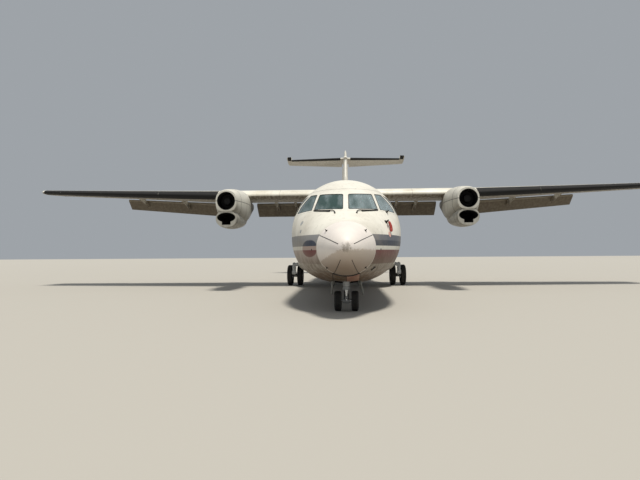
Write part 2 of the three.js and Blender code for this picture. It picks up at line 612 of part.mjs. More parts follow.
// Flight deck inside the nose: panel with glareshield and pedestal, and two seats. Boxes are
// x0, x1, station0, station1, height0, height1; a seat's back and head rest are slanted bars.
const floorTop = COCKPIT.floor + GAP;
const PANEL_BOXES = [
  [-640, 640, 2060, 2160, floorTop, 2180],
  [-540, 540, 1800, 2150, 2120, 2180],
  [-160, 160, 2150, 2700, floorTop, 1850],
];
const SEAT = {
  boxes: [[250, 650, 2620, 2980, floorTop, 1640], [220, 680, 2560, 3060, 1600, 1720]],
  back: { from: [450, 3020, 1640], to: [450, 3170, 2330], width: 440, depth: 110 },
  head: { from: [450, 3160, 2300], to: [450, 3190, 2460], width: 240, depth: 90 },
};
add("instrument_panel", join(...PANEL_BOXES.map((sides) => box(...sides))), CABIN_GREY);
addPair("pilot_seat", join(
  ...SEAT.boxes.map((sides) => box(...sides)),
  ...[SEAT.back, SEAT.head].map(({ from, to, width, depth }) => bar(from, to, [1, 0, 0], width, depth)),
), SEAT_CLOTH);

// Wing sections at a distance from the middle, as chord data
function wingAt(x) {
  const share = Math.max(0, Math.abs(x) - WING.joint) / (HALF_SPAN - WING.joint);
  const mix = THREE.MathUtils.lerp;
  return {
    leading: WING.leading + WING.tipSweep * share,
    chord: mix(WING.chord, WING.tipChord, share),
    thickness: mix(WING.thickness, WING.tipThickness, share),
    height: WING.height + Math.max(0, Math.abs(x) - WING.joint) * Math.tan(WING.dihedral),
  };
}

// A point of the wing at a share of the chord: side 1 is the top skin, -1 the bottom skin
function wingPoint(x, u, side) {
  const { leading, chord, thickness, height } = wingAt(x);
  const middle = height + chord * 4 * WING.camber * u * (1 - u);
  return [leading + u * chord, middle + side * chord * thickness * halfThickness(u)];
}

function wingRing(x, { grow = 0, shrink = 1 } = {}) {
  const { leading, chord, thickness, height } = wingAt(x);
  const nose = leading + chord * 0.5 * (1 - shrink);
  const outline = aerofoil(nose, chord * shrink, thickness, WING.camber, grow);
  return outline.map(([station, rise]) => [x, station, height + rise]);
}

// What is cut away behind the rear spar for a flap, leaving the upper shroud
function flapCove(x) {
  const [sparStation, sparTop] = wingPoint(x, WING.spar, 1);
  const [lipStation, lipTop] = wingPoint(x, WING.shroud, 1);
  const rear = lipStation + WING.chord;
  const [low, high] = [sparTop - 700, sparTop + 400];
  const outline = [
    [sparStation, low], [sparStation, sparTop - WING.shroudPlate],
    [lipStation, lipTop - WING.shroudPlate], [lipStation, high], [rear, high], [rear, low],
  ];
  return outline.map(PLACE.x(x));
}

const flapNoseRadius = (x) => FLAP.noseShare * wingAt(x).thickness * wingAt(x).chord;
function flapRing(x) {
  const { leading, chord, height } = wingAt(x);
  const radius = flapNoseRadius(x);
  const centre = [leading + WING.spar * chord + CLEAR + radius, height + FLAP.noseRise * chord];
  return wedge(centre, radius, [leading + chord, height], 4).map(PLACE.x(x));
}

const flapHinge = (x) => {
  const { leading, chord, height } = wingAt(x);
  return [x, leading + FLAP.hingeAt * chord, height - FLAP.hingeDrop * chord];
};
const towards = (p, q) => vector(q).sub(vector(p)).normalize().toArray();

// A flap hinge under the wing: a blade of the wing between two cheeks of the flap
const BRACKET = { blade: 20, side: 8, cheek: 24, pin: 20, round: 50, front: 0.4, embed: 25 };
function flapBracket([wing, flap], x) {
  const [, station, height] = flapHinge(x);
  const { leading, chord, height: chordHeight } = wingAt(x);
  const [frontStation, frontHeight] = wingPoint(x, BRACKET.front, -1);
  const [sparStation, sparHeight] = wingPoint(x, WING.spar - 0.005, -1);
  const foot = [200, 240, 280, 320, 360].map((degrees) => {
    const angle = THREE.MathUtils.degToRad(degrees);
    return [station + BRACKET.round * Math.cos(angle), height + BRACKET.round * Math.sin(angle)];
  });
  const bladeOutline = [
    [frontStation, frontHeight + BRACKET.embed], [frontStation, frontHeight - 4], ...foot,
    [sparStation, sparHeight - 20], [sparStation, sparHeight + BRACKET.embed],
  ];
  const noseRadius = flapNoseRadius(x);
  const noseStation = leading + WING.spar * chord + CLEAR + noseRadius;
  const cheekOutline = [
    [noseStation - noseRadius * 0.5, chordHeight - noseRadius * 0.3], ...foot,
    [leading + 0.9 * chord, chordHeight - 0.004 * chord],
  ];
  const pinHalf = BRACKET.blade + BRACKET.side + BRACKET.cheek;
  const cheeks = [-1, 1].map((side) => prism(cheekOutline, "x",
    x + side * (BRACKET.blade + BRACKET.side), x + side * pinHalf));
  const pin = rod(flapHinge(x - pinHalf + 2), flapHinge(x + pinHalf - 2), BRACKET.pin);
  const blade = cut(prism(bladeOutline, "x", x - BRACKET.blade, x + BRACKET.blade),
    bore(flapHinge(x - pinHalf), flapHinge(x + pinHalf), BRACKET.pin, 12, 0.5));
  return [join(wing, blade), join(flap, ...cheeks, pin)];
}

// Aileron: its round nose turns inside the wing's trailing edge
function aileronShape(x) {
  const { leading, chord, thickness, height } = wingAt(x);
  const u = AILERON.hingeAt;
  const centre = [leading + u * chord, height + chord * 4 * WING.camber * u * (1 - u)];
  return { centre, radius: chord * thickness * halfThickness(u), tail: [leading + chord, height] };
}
function aileronCove(x) {
  const { centre, radius } = aileronShape(x);
  const front = centre[0] - radius - CLEAR;
  return rectangle(front, front + WING.chord, centre[1] - 500, centre[1] + 500).map(PLACE.x(x));
}
const aileronRing = (x) => {
  const { centre, radius, tail } = aileronShape(x);
  return wedge(centre, radius, tail, 3).map(PLACE.x(x));
};

const innerJoint = WING.joint - GAP / 2;
const wingCentreBlank = (grow) => loft([wingRing(-innerJoint, { grow }), wingRing(innerJoint, { grow })]);
const innerCove = loft([flapCove(FLAP_INNER.from - CLEAR), flapCove(FLAP_INNER.to + CLEAR)]);
let wingCentre = wingCentreBlank(0);
let flapInner = loft([flapRing(FLAP_INNER.from), flapRing(FLAP_INNER.to)]);
wingCentre = cut(wingCentre, innerCove, mirrored(innerCove));
const innerParts = [wingCentre, flapInner];
for (const x of FLAP_INNER.brackets) {
  const [withBlade, withCheeks] = flapBracket(innerParts, x);
  innerParts[0] = join(withBlade, mirrored(cut(withBlade, box(-HALF_SPAN, 0, 0, LENGTH, 0, HEIGHT))));
  innerParts[1] = withCheeks;
}
[wingCentre, flapInner] = innerParts;
add("wing_centre", wingCentre, WHITE_PAINT);

const surfaceSplit = (FLAP_OUTER.to + AILERON.from) / 2;
const outerBlank = loft([
  wingRing(WING.joint + GAP / 2),
  ...WING_TIP.map(([inboard, shrink]) => wingRing(HALF_SPAN - inboard, { shrink })),
]);
let outerParts = [
  cut(outerBlank,
    loft([flapCove(FLAP_OUTER.from - CLEAR), flapCove(surfaceSplit)]),
    loft([aileronCove(surfaceSplit - 1), aileronCove(AILERON.to + CLEAR)])),
  loft([flapRing(FLAP_OUTER.from), flapRing(FLAP_OUTER.to)]),
];
for (const x of FLAP_OUTER.brackets) outerParts = flapBracket(outerParts, x);
const [wingWithFlap, flapOuter] = outerParts;

const aileronHinge = (x) => [x, ...aileronShape(x).centre];
const aileronAxis = towards(aileronHinge(AILERON.from), aileronHinge(AILERON.to));
let aileronParts = [wingWithFlap, loft([aileronRing(AILERON.from), aileronRing(AILERON.to)])];
for (const x of AILERON.hinges) {
  aileronParts = forkHinge(aileronParts, aileronHinge(x), aileronAxis, aileronShape(x).radius, [0, -1, 0]);
}
addPair("wing_outer", aileronParts[0], WHITE_PAINT);
addPair("aileron", aileronParts[1], WHITE_PAINT);

// Flaps are drawn retracted and turned down about their hinge lines
const flaps = [["flap_inner", FLAP_INNER, flapInner], ["flap_outer", FLAP_OUTER, flapOuter]];
for (const [name, span, flap] of flaps) {
  const ends = [flapHinge(span.from), flapHinge(span.to)];
  const axis = towards(...ends);
  const left = turnedGroup(ends[0], axis, -FLAP.down);
  add(`${name}_left`, flap, GREY_PAINT, left);
  const flip = ([x, station, height]) => [-x, station, height];
  const right = turnedGroup(flip(ends[0]), flip(axis), FLAP.down);
  add(`${name}_right`, mirrored(flap), GREY_PAINT, right);
}

// Fairing that joins wing and fuselage
const fairing = longBody(FAIRING_TABLE, 2.2, 2.2, 20)(tableSpread(FAIRING_TABLE, 8));
add("wing_fairing", cut(fairing, wholeFuselage(-GAP), wingCentreBlank(GAP)), WHITE_PAINT);

// Nacelles, engines and exhaust pipes
const nacelleUpper = longBody(NACELLE_TABLE, NACELLE_POWERS.upper, NACELLE_POWERS.lower, 16, NACELLE.x);
const nacelleChin = longBody(CHIN_TABLE, NACELLE_POWERS.chin, NACELLE_POWERS.chin, 16, NACELLE.x);
const exhaustRod = (grow) => rod(along(EXHAUST.start, EXHAUST.end, -grow / 1000), EXHAUST.end,
  EXHAUST.startRadius + grow, 16, EXHAUST.endRadius + grow);
const exhaustBore = rod(along(EXHAUST.start, EXHAUST.end, 0.4), along(EXHAUST.start, EXHAUST.end, 1.05),
  EXHAUST.endRadius - EXHAUST.wall, 16);

function nacelle() {
  const body = join(
    nacelleUpper(tableSpread(NACELLE_TABLE, 9)),
    nacelleChin(tableSpread(CHIN_TABLE, 5)));
  const engineBay = rod([NACELLE.x, 6900, NACELLE.shaft],
    [NACELLE.x, NACELLE.boreEnd, NACELLE.shaft], NACELLE.bore, 16);
  const oval = Array.from({ length: INTAKE.sides }, (_, i) => {
    const angle = (2 * Math.PI * i) / INTAKE.sides;
    return [
      NACELLE.x + INTAKE.halfWidth * Math.cos(angle),
      INTAKE.height + INTAKE.halfHeight * Math.sin(angle),
    ];
  });
  const intake = prism(oval, "y", 6900, INTAKE.end);
  const cooler = prism(rectangle(NACELLE.x - OIL_COOLER.halfWidth, NACELLE.x + OIL_COOLER.halfWidth,
    OIL_COOLER.low, OIL_COOLER.high), "y", 6900, INTAKE.end - 300);
  return cut(body, wingCentreBlank(GAP), engineBay, intake, cooler, exhaustRod(GAP));
}
addPair("nacelle", nacelle(), WHITE_PAINT);

const shaftPoint = (station) => [NACELLE.x, station, NACELLE.shaft];
addPair("engine", join(
  rod(shaftPoint(ENGINE.front), shaftPoint(NACELLE.boreEnd - GAP), ENGINE.radius, 16),
  rod(shaftPoint(ENGINE.flangeFace + 20), shaftPoint(ENGINE.front + 20),
    ENGINE.gearbox * 0.6, 12, ENGINE.gearbox),
  rod(shaftPoint(ENGINE.flangeFace), shaftPoint(ENGINE.flangeFace + ENGINE.flangePlate), ENGINE.flange, 16),
), ALUMINIUM);
addPair("exhaust", cut(exhaustRod(0), exhaustBore), BURNT_STEEL);

// Stabiliser with bullet fairing and fin cap, and its elevators with horns
function stabiliserAt(x) {
  const share = Math.abs(x) / STABILISER.halfSpan;
  return {
    leading: THREE.MathUtils.lerp(STABILISER.rootLeading, STABILISER.tipLeading, share),
    chord: THREE.MathUtils.lerp(STABILISER.rootChord, STABILISER.tipChord, share),
  };
}
function stabiliserRing(x, { grow = 0, shrink = 1 } = {}) {
  const { leading, chord } = stabiliserAt(x);
  const nose = leading + chord * 0.5 * (1 - shrink);
  return aerofoil(nose, chord * shrink, STABILISER.thickness * (shrink < 1 ? 0.6 : 1), 0, grow)
    .map(([station, rise]) => [x, station, STABILISER.height + rise]);
}
function elevatorRadius(x) {
  const { leading, chord } = stabiliserAt(x);
  return chord * STABILISER.thickness * halfThickness((ELEVATOR.hinge - leading) / chord) - 1;
}
const elevatorRing = (x) => {
  const { leading, chord } = stabiliserAt(x);
  const centre = [ELEVATOR.hinge, STABILISER.height];
  return wedge(centre, elevatorRadius(x), [leading + chord, STABILISER.height], 3).map(PLACE.x(x));
};
const elevatorCove = (x) => {
  const front = ELEVATOR.hinge - elevatorRadius(x) - CLEAR;
  return rectangle(front, front + 2000, STABILISER.height - 300, STABILISER.height + 300).map(PLACE.x(x));
};

const stabiliserBlank = (grow) => loft([
  stabiliserRing(-STABILISER.fixedTo, { grow }), stabiliserRing(0, { grow }),
  stabiliserRing(STABILISER.fixedTo, { grow }),
]);
const bullet = (grow) => longBody(BULLET_TABLE, 2, 2, 12)(tableSpread(BULLET_TABLE, 7), -grow);
const halfCove = loft([elevatorCove(ELEVATOR.from - CLEAR), elevatorCove(STABILISER.fixedTo + 1)]);
const horn = loft([
  stabiliserRing(ELEVATOR.horn), stabiliserRing(3600), stabiliserRing(STABILISER.halfSpan, { shrink: 0.8 }),
]);
let elevatorParts = [
  cut(stabiliserBlank(0), halfCove, mirrored(halfCove)),
  join(loft([elevatorRing(ELEVATOR.from), elevatorRing(ELEVATOR.horn + 1)]), horn),
];
for (const x of ELEVATOR.hinges) {
  const at = [x, ELEVATOR.hinge, STABILISER.height];
  elevatorParts = forkHinge(elevatorParts, at, [1, 0, 0], elevatorRadius(x), [0, -1, 0]);
}
const keepPort = (body) => cut(body, box(-HALF_SPAN, 0, 0, LENGTH, 0, HEIGHT + 500));
const portStabiliser = keepPort(elevatorParts[0]);
const finCap = loft(FIN_CAP.map(([height, leading, trailing, thickness]) =>
  aerofoil(leading, trailing - leading, thickness).map(([station, x]) => [x, station, height])));
add("stabilizer", join(portStabiliser, mirrored(portStabiliser), bullet(0), finCap), WHITE_PAINT);

const elevatorGroup = turnedGroup([0, ELEVATOR.hinge, STABILISER.height], [1, 0, 0], -ELEVATOR.droop);
add("elevator_left", elevatorParts[1], WHITE_PAINT, elevatorGroup);
add("elevator_right", mirrored(elevatorParts[1]), WHITE_PAINT, elevatorGroup);

// Fin with its dorsal fillet, and the rudder behind it
function finAt(height) {
  const share = (height - FIN.root) / (FIN.top - FIN.root);
  const leading = THREE.MathUtils.lerp(FIN.rootLeading, FIN.topLeading, share);
  const trailing = THREE.MathUtils.lerp(FIN.rootTrailing, FIN.topTrailing, share);
  return { leading, chord: trailing - leading };
}
const finRing = (height) => {
  const { leading, chord } = finAt(height);
  return aerofoil(leading, chord, FIN.thickness).map(([station, x]) => [x, station, height]);
};
function rudderShape(height) {
  const { leading, chord } = finAt(height);
  return {
    hinge: leading + FIN.hingeAt * chord,
    radius: chord * FIN.thickness * halfThickness(FIN.hingeAt) - 1,
    tail: leading + chord,
  };
}
const rudderRing = (height) => {
  const { hinge, radius, tail } = rudderShape(height);
  return wedge([hinge, 0], radius, [tail, 0], 4).map(([station, x]) => [x, station, height]);
};
const rudderCove = (height) => {
  const { hinge, radius } = rudderShape(height);
  const front = hinge - radius - CLEAR;
  return rectangle(-500, 500, front, front + 3000).map(PLACE.z(height));
};
const dorsal = loft([0, 0.5, 1].map((share) => {
  const station = THREE.MathUtils.lerp(DORSAL.front, DORSAL.rear, share);
  const top = THREE.MathUtils.lerp(DORSAL.frontTop, DORSAL.rearTop, share);
  const [base, crest] = [DORSAL.base, DORSAL.crest].map((ends) => THREE.MathUtils.lerp(...ends, share));
  const side = top - DORSAL.shoulder;
  return [[-base, DORSAL.bottom], [base, DORSAL.bottom], [crest, side], [0, top], [-crest, side]]
    .map(PLACE.y(station));
}));
const finBody = cut(join(loft([finRing(FIN.bottom), finRing(FIN.top)]), dorsal),
  wholeFuselage(-GAP), bullet(GAP), stabiliserBlank(GAP),
  loft([rudderCove(FIN.bottom - 10), rudderCove(RUDDER.to + RUDDER.headGap)]));
const rudderHinge = (height) => [0, rudderShape(height).hinge, height];
const rudderAxis = towards(rudderHinge(RUDDER.from), rudderHinge(RUDDER.to));
let finParts = [finBody, loft([rudderRing(RUDDER.from), rudderRing(RUDDER.to)])];
for (const height of RUDDER.hinges) {
  finParts = forkHinge(finParts, rudderHinge(height), rudderAxis, rudderShape(height).radius, [0, -1, 0]);
}
add("fin", finParts[0], WHITE_PAINT);
add("rudder", finParts[1], WHITE_PAINT, turnedGroup(rudderHinge(RUDDER.from), rudderAxis, RUDDER.swing));

// Sponsons that hold the main gear, open where the wheels fold in
const SPONSON_JACK = { station: 9400, radius: 40, face: 535, root: 640 };
const bayOutline = rectangle(SPONSON.bayFront, SPONSON.bayRear, SPONSON.bayFloor, SPONSON.bayRoof);
const sponson = cut(
  longBody(SPONSON_TABLE, 2.2, 2.2, 16, SPONSON.x)(tableSpread(SPONSON_TABLE, 8)),
  wholeFuselage(-GAP), prism(bayOutline, "x", SPONSON.bayInner, 2300));
addPair("sponson", join(sponson, jackPad(1300, SPONSON_JACK.station, SPONSON_JACK)), WHITE_PAINT);

// Wheels: a tyre is a turned ring, a hub a turned disc with its axle. Shares are of half the
// tyre's width across, and of the rim's or the side wall's radius outwards.
const TYRE_SHARES = { bead: 0.72, bulge: 0.45, tread: 0.4, shoulderDrop: 14 };
const HUB_SHARES = { width: 0.72, flange: 0.84, dish: 0.7, dishDepth: 0.3, boss: 1.8, rimOfTyre: 0.5 };
function tyre(centre, radius, width, rim) {
  const half = width / 2;
  const [bead, tread] = [half * TYRE_SHARES.bead, half * TYRE_SHARES.tread];
  const widest = rim + (radius - rim) * TYRE_SHARES.bulge;
  const shoulder = radius - TYRE_SHARES.shoulderDrop;
  const profile = [
    [-bead, rim], [-half, widest], [-bead, shoulder], [-tread, radius], [tread, radius],
    [bead, shoulder], [half, widest], [bead, rim], [-bead, rim],
  ];
  return turnedAlongX(profile, centre, WHEEL_SIDES);
}
function hub(width, rim, axle) {
  const half = (width / 2) * HUB_SHARES.width;
  const profile = [
    [-half, 0], [-half, rim - 1], [half, rim - 1], [half, rim * HUB_SHARES.flange],
    [half * HUB_SHARES.dishDepth, rim * HUB_SHARES.dish], [half, axle * HUB_SHARES.boss], [half, 0],
  ];
  return turnedAlongX(profile, [0, 0, 0], WHEEL_SIDES);
}
function wheelSet(names, centre, gear) {
  const rim = gear.tyreRadius * HUB_SHARES.rimOfTyre;
  const places = [-gear.wheelX, gear.wheelX].map((x) => [centre[0] + x, centre[1], centre[2]]);
  const axle = rod(places[0], places[1], gear.axle);
  const hubs = places.map((place, k) => {
    const wheel = hub(gear.tyreWidth, rim, gear.axle);
    const turned = k === 0 ? mirrored(wheel) : wheel;
    return moved(turned, place);
  });
  add(names.hubs, join(axle, ...hubs), ALUMINIUM);
  places.forEach((place, k) => {
    add(names.tyres[k], tyre(place, gear.tyreRadius, gear.tyreWidth, rim), TYRE_RUBBER);
  });
}
function moved(body, offset) {
  const { vertProperties, triVerts } = body.getMesh();
  return fromArrays(vertProperties.map((value, i) => value + offset[i % 3]), triVerts);
}

// Nose gear: leg with its drag brace, steered fork leg and doors hanging open. Stations here
// are distances aft of the leg.
const NOSE_PARTS = {
  head: { half: 110, plate: 45 },
  brace: { foot: 700, spread: 150, drop: 35, station: -520, radius: 24 },
  bracePad: { inner: 115, outer: 185, front: -570, rear: -480, plate: 50 },
  collar: { top: 548, low: 470 },
  link: { top: [0, 60, 500], knee: [0, 150, 330], axle: [0, 40, NOSE_GEAR.tyreRadius], width: 60, depth: 26 },
  towLug: { from: [0, -30, 300], to: [0, -120, 300], width: 50, depth: 40 },
};
const noseAt = ([x, shift, height]) => [x, NOSE_GEAR.station + shift, height];
const onLeg = (height) => noseAt([0, 0, height]);
const noseBar = (p, q, { width, depth }) => bar(noseAt(p), noseAt(q), [1, 0, 0], width, depth);
const legTop = NOSE_BAY.roof - GAP;
const { head, brace, bracePad, collar, link, towLug } = NOSE_PARTS;
const padStations = [bracePad.front, bracePad.rear].map((shift) => NOSE_GEAR.station + shift);
const bracePadPort = box(bracePad.inner, bracePad.outer, ...padStations, legTop - bracePad.plate, legTop);
const bracePort = rod(onLeg(brace.foot),
  noseAt([brace.spread, brace.station, legTop - brace.drop]), brace.radius, 8);
const noseLeg = cut(join(
  rod(onLeg(legTop), onLeg(NOSE_GEAR.legFoot), NOSE_GEAR.leg, 12),
  box(-head.half, head.half, NOSE_GEAR.station - head.half, NOSE_GEAR.station + head.half,
    legTop - head.plate, legTop),
  bracePort, mirrored(bracePort), bracePadPort, mirrored(bracePadPort),
), bore(onLeg(300), onLeg(NOSE_GEAR.pistonTop + GAP), NOSE_GEAR.piston));
add("nose_gear_leg", noseLeg, WHITE_PAINT);

const wheelHeight = NOSE_GEAR.tyreRadius;
const axleEnd = (x) => noseAt([x, 0, wheelHeight]);
add("nose_gear_steer", cut(join(
  rod(onLeg(NOSE_GEAR.pistonTop), onLeg(wheelHeight), NOSE_GEAR.piston, 12),
  rod(onLeg(collar.top), onLeg(collar.low), NOSE_GEAR.leg, 12),
  rod(axleEnd(-NOSE_GEAR.knuckleHalf), axleEnd(NOSE_GEAR.knuckleHalf), NOSE_GEAR.knuckle),
  noseBar(link.top, link.knee, link),
  noseBar(link.knee, link.axle, link),
  noseBar(towLug.from, towLug.to, towLug),
), bore(axleEnd(-NOSE_GEAR.wheelX), axleEnd(NOSE_GEAR.wheelX), NOSE_GEAR.axle)), WHITE_PAINT);
wheelSet({ hubs: "nose_wheel_hubs", tyres: ["nose_tyre_right", "nose_tyre_left"] },
  onLeg(wheelHeight), NOSE_GEAR);

// A nose gear door hangs from arms inside the bay's side wall. An arm's outline has its
// height above the skin: the top, the crank above and below, and where it meets the door.
const DOOR_ARM = { shares: [0.2, 0.8], plate: 26, top: 130, crank: -36, under: -60, foot: -80, reach: 20 };
function noseDoor(splay) {
  const tilt = Math.tan(THREE.MathUtils.degToRad(splay));
  const level = (station) => skinColumns[2](station) + GEAR_DOOR.lift;
  const ends = [NOSE_BAY.doorsRear + 6, NOSE_BAY.rear - 10];
  const ringAt = (station) => {
    const top = level(station);
    const low = top - GEAR_DOOR.depth;
    const out = GEAR_DOOR.x + GEAR_DOOR.depth * tilt;
    const hung = [[GEAR_DOOR.x, top], [GEAR_DOOR.x + GEAR_DOOR.plate, top]];
    return [...hung, [out + GEAR_DOOR.plate, low], [out, low]].map(PLACE.y(station));
  };
  const plate = cut(loft(ends.map(ringAt)), fuselage(barrelStations[1], -2));
  const wall = NOSE_BAY.halfWidth - GAP;
  const arms = DOOR_ARM.shares.map((share) => {
    const station = THREE.MathUtils.lerp(...ends, share);
    const out = GEAR_DOOR.x + DOOR_ARM.reach;
    const outline = [
      [wall - DOOR_ARM.plate, DOOR_ARM.top], [wall, DOOR_ARM.top], [wall, DOOR_ARM.crank],
      [out, DOOR_ARM.crank], [out, DOOR_ARM.foot], [wall - DOOR_ARM.plate, DOOR_ARM.under],
    ].map(([x, rise]) => [x, level(station) + rise]);
    return prism(outline, "y", station - GEAR_DOOR.armHalf, station + GEAR_DOOR.armHalf);
  });
  return join(plate, ...arms);
}
add("nose_gear_door_left", noseDoor(GEAR_DOOR.splay.left), WHITE_PAINT);
add("nose_gear_door_right", mirrored(noseDoor(GEAR_DOOR.splay.right)), WHITE_PAINT);

// Main gear members, as one end and the other (x, station aft of the pivot, height), radius,
// sides and the radius at the other end; the axle lies MAIN_GEAR.trail aft of the pivot
const axleHeight = MAIN_GEAR.tyreRadius;
const MAIN_MEMBERS = [
  [[1100, 0, 1010], [MAIN_GEAR.x, 0, 830], 75, 12, 65], // trunnion out of the sponson
  [[MAIN_GEAR.x, 0, 870], [MAIN_GEAR.x, 0, 500], 62, 12, 62], // leg
  [[MAIN_GEAR.x, 0, 540], [MAIN_GEAR.x, MAIN_GEAR.trail, axleHeight], 58, 12, 60], // trailing arm
  [[MAIN_GEAR.x, MAIN_GEAR.trail - 150, 470], [MAIN_GEAR.x, 40, 880], 42, 14, 42], // shock absorber
  [[1330, 250, 1050], [1900, 0, 850], 34, 10, 34], // side brace
];
const BRACE_PAD = { inner: 1270, outer: 1390, front: 190, rear: 310, low: 1040 };
const mainAt = ([x, shift, height]) => [x, MAIN_GEAR.pivot + shift, height];
const axleAt = (x) => mainAt([x, MAIN_GEAR.trail, axleHeight]);
const mainLeg = cut(join(
  ...MAIN_MEMBERS.map(([p, q, radius, sides, end]) => rod(mainAt(p), mainAt(q), radius, sides, end)),
  rod(axleAt(MAIN_GEAR.x - MAIN_GEAR.knuckleHalf), axleAt(MAIN_GEAR.x + MAIN_GEAR.knuckleHalf),
    MAIN_GEAR.knuckle),
  box(BRACE_PAD.inner, BRACE_PAD.outer, MAIN_GEAR.pivot + BRACE_PAD.front,
    MAIN_GEAR.pivot + BRACE_PAD.rear, BRACE_PAD.low, SPONSON.bayRoof - GAP),
), wholeFuselage(-GAP), bore(axleAt(MAIN_GEAR.x - MAIN_GEAR.wheelX),
  axleAt(MAIN_GEAR.x + MAIN_GEAR.wheelX), MAIN_GEAR.axle));
addPair("main_gear_leg", mainLeg, WHITE_PAINT);
for (const [side, name, order] of [[1, "left", ["inner", "outer"]], [-1, "right", ["outer", "inner"]]]) {
  const tyres = order.map((place) => `main_tyre_${name}_${place}`);
  wheelSet({ hubs: `main_wheel_hubs_${name}`, tyres }, axleAt(side * MAIN_GEAR.x), MAIN_GEAR);
}

export default aircraft;
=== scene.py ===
# %% [markdown]
# A turboprop airliner, parked and neglected
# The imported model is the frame: it fixes every size, place and hinge. This lesson builds the
# smooth surfaces and finishes that the eye sees around it. The drawing uses millimetres, as
# x to port, the station aft of the nose tip, and the height above the floor.

# %% Load the frame
from types import SimpleNamespace as Sizes

import bmesh
import bpy
import numpy as np
from mathutils import Matrix


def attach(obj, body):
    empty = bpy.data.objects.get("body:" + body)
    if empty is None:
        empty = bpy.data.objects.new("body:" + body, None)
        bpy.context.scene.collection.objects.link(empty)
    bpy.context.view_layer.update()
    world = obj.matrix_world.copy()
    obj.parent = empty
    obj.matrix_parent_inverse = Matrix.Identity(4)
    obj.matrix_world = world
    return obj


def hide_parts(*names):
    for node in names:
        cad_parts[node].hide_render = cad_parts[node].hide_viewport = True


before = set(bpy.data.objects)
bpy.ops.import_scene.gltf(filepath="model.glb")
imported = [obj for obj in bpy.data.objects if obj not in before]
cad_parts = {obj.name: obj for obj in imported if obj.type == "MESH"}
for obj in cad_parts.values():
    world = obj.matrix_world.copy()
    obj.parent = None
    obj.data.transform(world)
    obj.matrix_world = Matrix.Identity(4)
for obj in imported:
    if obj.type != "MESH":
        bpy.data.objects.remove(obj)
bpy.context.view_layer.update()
LENGTH = 22670
ROOT = "airframe"
BOTH_SIDES = ((1, "left"), (-1, "right"))

# %% [markdown]
# A shape here is an array of points worked out by a formula. Rings of points make a tube, a
# flat outline carried along one axis makes a prism, and a profile turned about an axis makes
# a wheel. Cutting one closed solid with another gives windows, bays and hinge slots. Blender
# could model each by hand, but formulas keep every piece on the frame's own dimensions.


# %% Points and meshes
def to_row(points):
    """Drawing millimetres to metres, with y counted from the middle of the aircraft."""
    flat = np.array(points, float).reshape(-1, 3)
    flat[:, 1] -= LENGTH / 2
    return flat * 0.001


def mesh_object(name, points, faces):
    """A mesh object at the origin; its faces are turned outwards and equal points merged."""
    mesh = bpy.data.meshes.new(name)
    mesh.from_pydata(to_row(points).tolist(), [], [list(map(int, face)) for face in faces])
    obj = bpy.data.objects.new(name, mesh)
    bpy.context.scene.collection.objects.link(obj)
    tidy_normals(obj)
    return obj


def tidy_normals(obj):
    """Merges doubled points, drops faces with no area and turns the rest outwards."""
    work = bmesh.new()
    work.from_mesh(obj.data)
    bmesh.ops.remove_doubles(work, verts=work.verts, dist=1e-5)
    bmesh.ops.dissolve_degenerate(work, edges=work.edges, dist=1e-6)
    bmesh.ops.recalc_face_normals(work, faces=work.faces)
    work.to_mesh(obj.data)
    work.free()


def grid_faces(rows, columns, closed=True):
    """Four-sided faces between neighbouring points of a grid; closed joins last to first."""
    across = columns if closed else columns - 1
    row, column = np.meshgrid(np.arange(rows - 1), np.arange(across), indexing="ij")
    here = row * columns + column
    beside = row * columns + (column + 1) % columns
    return np.stack([here, beside, beside + columns, here + columns], -1).reshape(-1, 4)


def loft(name, rings):
    """A closed tube through equal rings, with a flat face over each end."""
    rings = np.asarray(rings, float)
    rows, columns = rings.shape[:2]
    faces = [*grid_faces(rows, columns), range(columns), range((rows - 1) * columns, rows * columns)]
    return mesh_object(name, rings, faces)


print("the nose tip in metres", to_row([(0, 0, 1400)])[0])

# %% Prisms and blocks
AXES = {"x": (0, 1, 2), "y": (1, 0, 2), "z": (2, 0, 1)}


def placed(outline, axis, at):
    """A flat outline put across an axis: x takes station and height, y takes x and height."""
    outline = np.asarray(outline, float)
    points = np.empty((len(outline), 3))
    points[:, AXES[axis][0]] = at
    points[:, AXES[axis][1:]] = outline
    return points


def prism(name, outline, axis, start, end):
    """A flat outline carried along one axis."""
    return loft(name, [placed(outline, axis, start), placed(outline, axis, end)])


def rectangle(a0, a1, b0, b1):
    """The four corners of a flat block, in order round it."""
    return [(a0, b0), (a1, b0), (a1, b1), (a0, b1)]


def box(name, x0, x1, s0, s1, z0, z1):
    """A block between two corners."""
    return prism(name, rectangle(x0, x1, s0, s1), "z", z0, z1)


print("corners of a unit square", rectangle(0, 1, 0, 1))

# %% Turned shapes, pipes and bars
FULL_CIRCLE = 2 * np.pi


def angles_round(count):
    """Equal steps of angle round a circle."""
    return np.linspace(0, FULL_CIRCLE, count, endpoint=False)


def round_frame(p, q):
    """Unit vectors along a line and two across it."""
    p, q = np.asarray(p, float), np.asarray(q, float)
    axis = (q - p) / np.linalg.norm(q - p)
    side = np.array([0.0, 0, 1]) if abs(axis[0]) > 0.9 else np.array([1.0, 0, 0])
    across = np.cross(side, axis)
    across /= np.linalg.norm(across)
    return axis, across, np.cross(axis, across)


def circle_round(across, up, sides):
    """Points of a unit circle: the cosine of an angle along one way and its sine along the other."""
    angle = angles_round(sides)[:, None]
    return np.cos(angle) * across[..., None, :] + np.sin(angle) * up[..., None, :]


def turned(name, p, q, profile, sides=48):
    """A profile of (distance from p towards q, radius) turned about the line from p to q."""
    axis, across, up = round_frame(p, q)
    profile = np.asarray(profile, float)
    circle = circle_round(across, up, sides)
    rings = np.asarray(p, float) + profile[:, :1, None] * axis + profile[:, 1:, None] * circle
    return loft(name, rings)


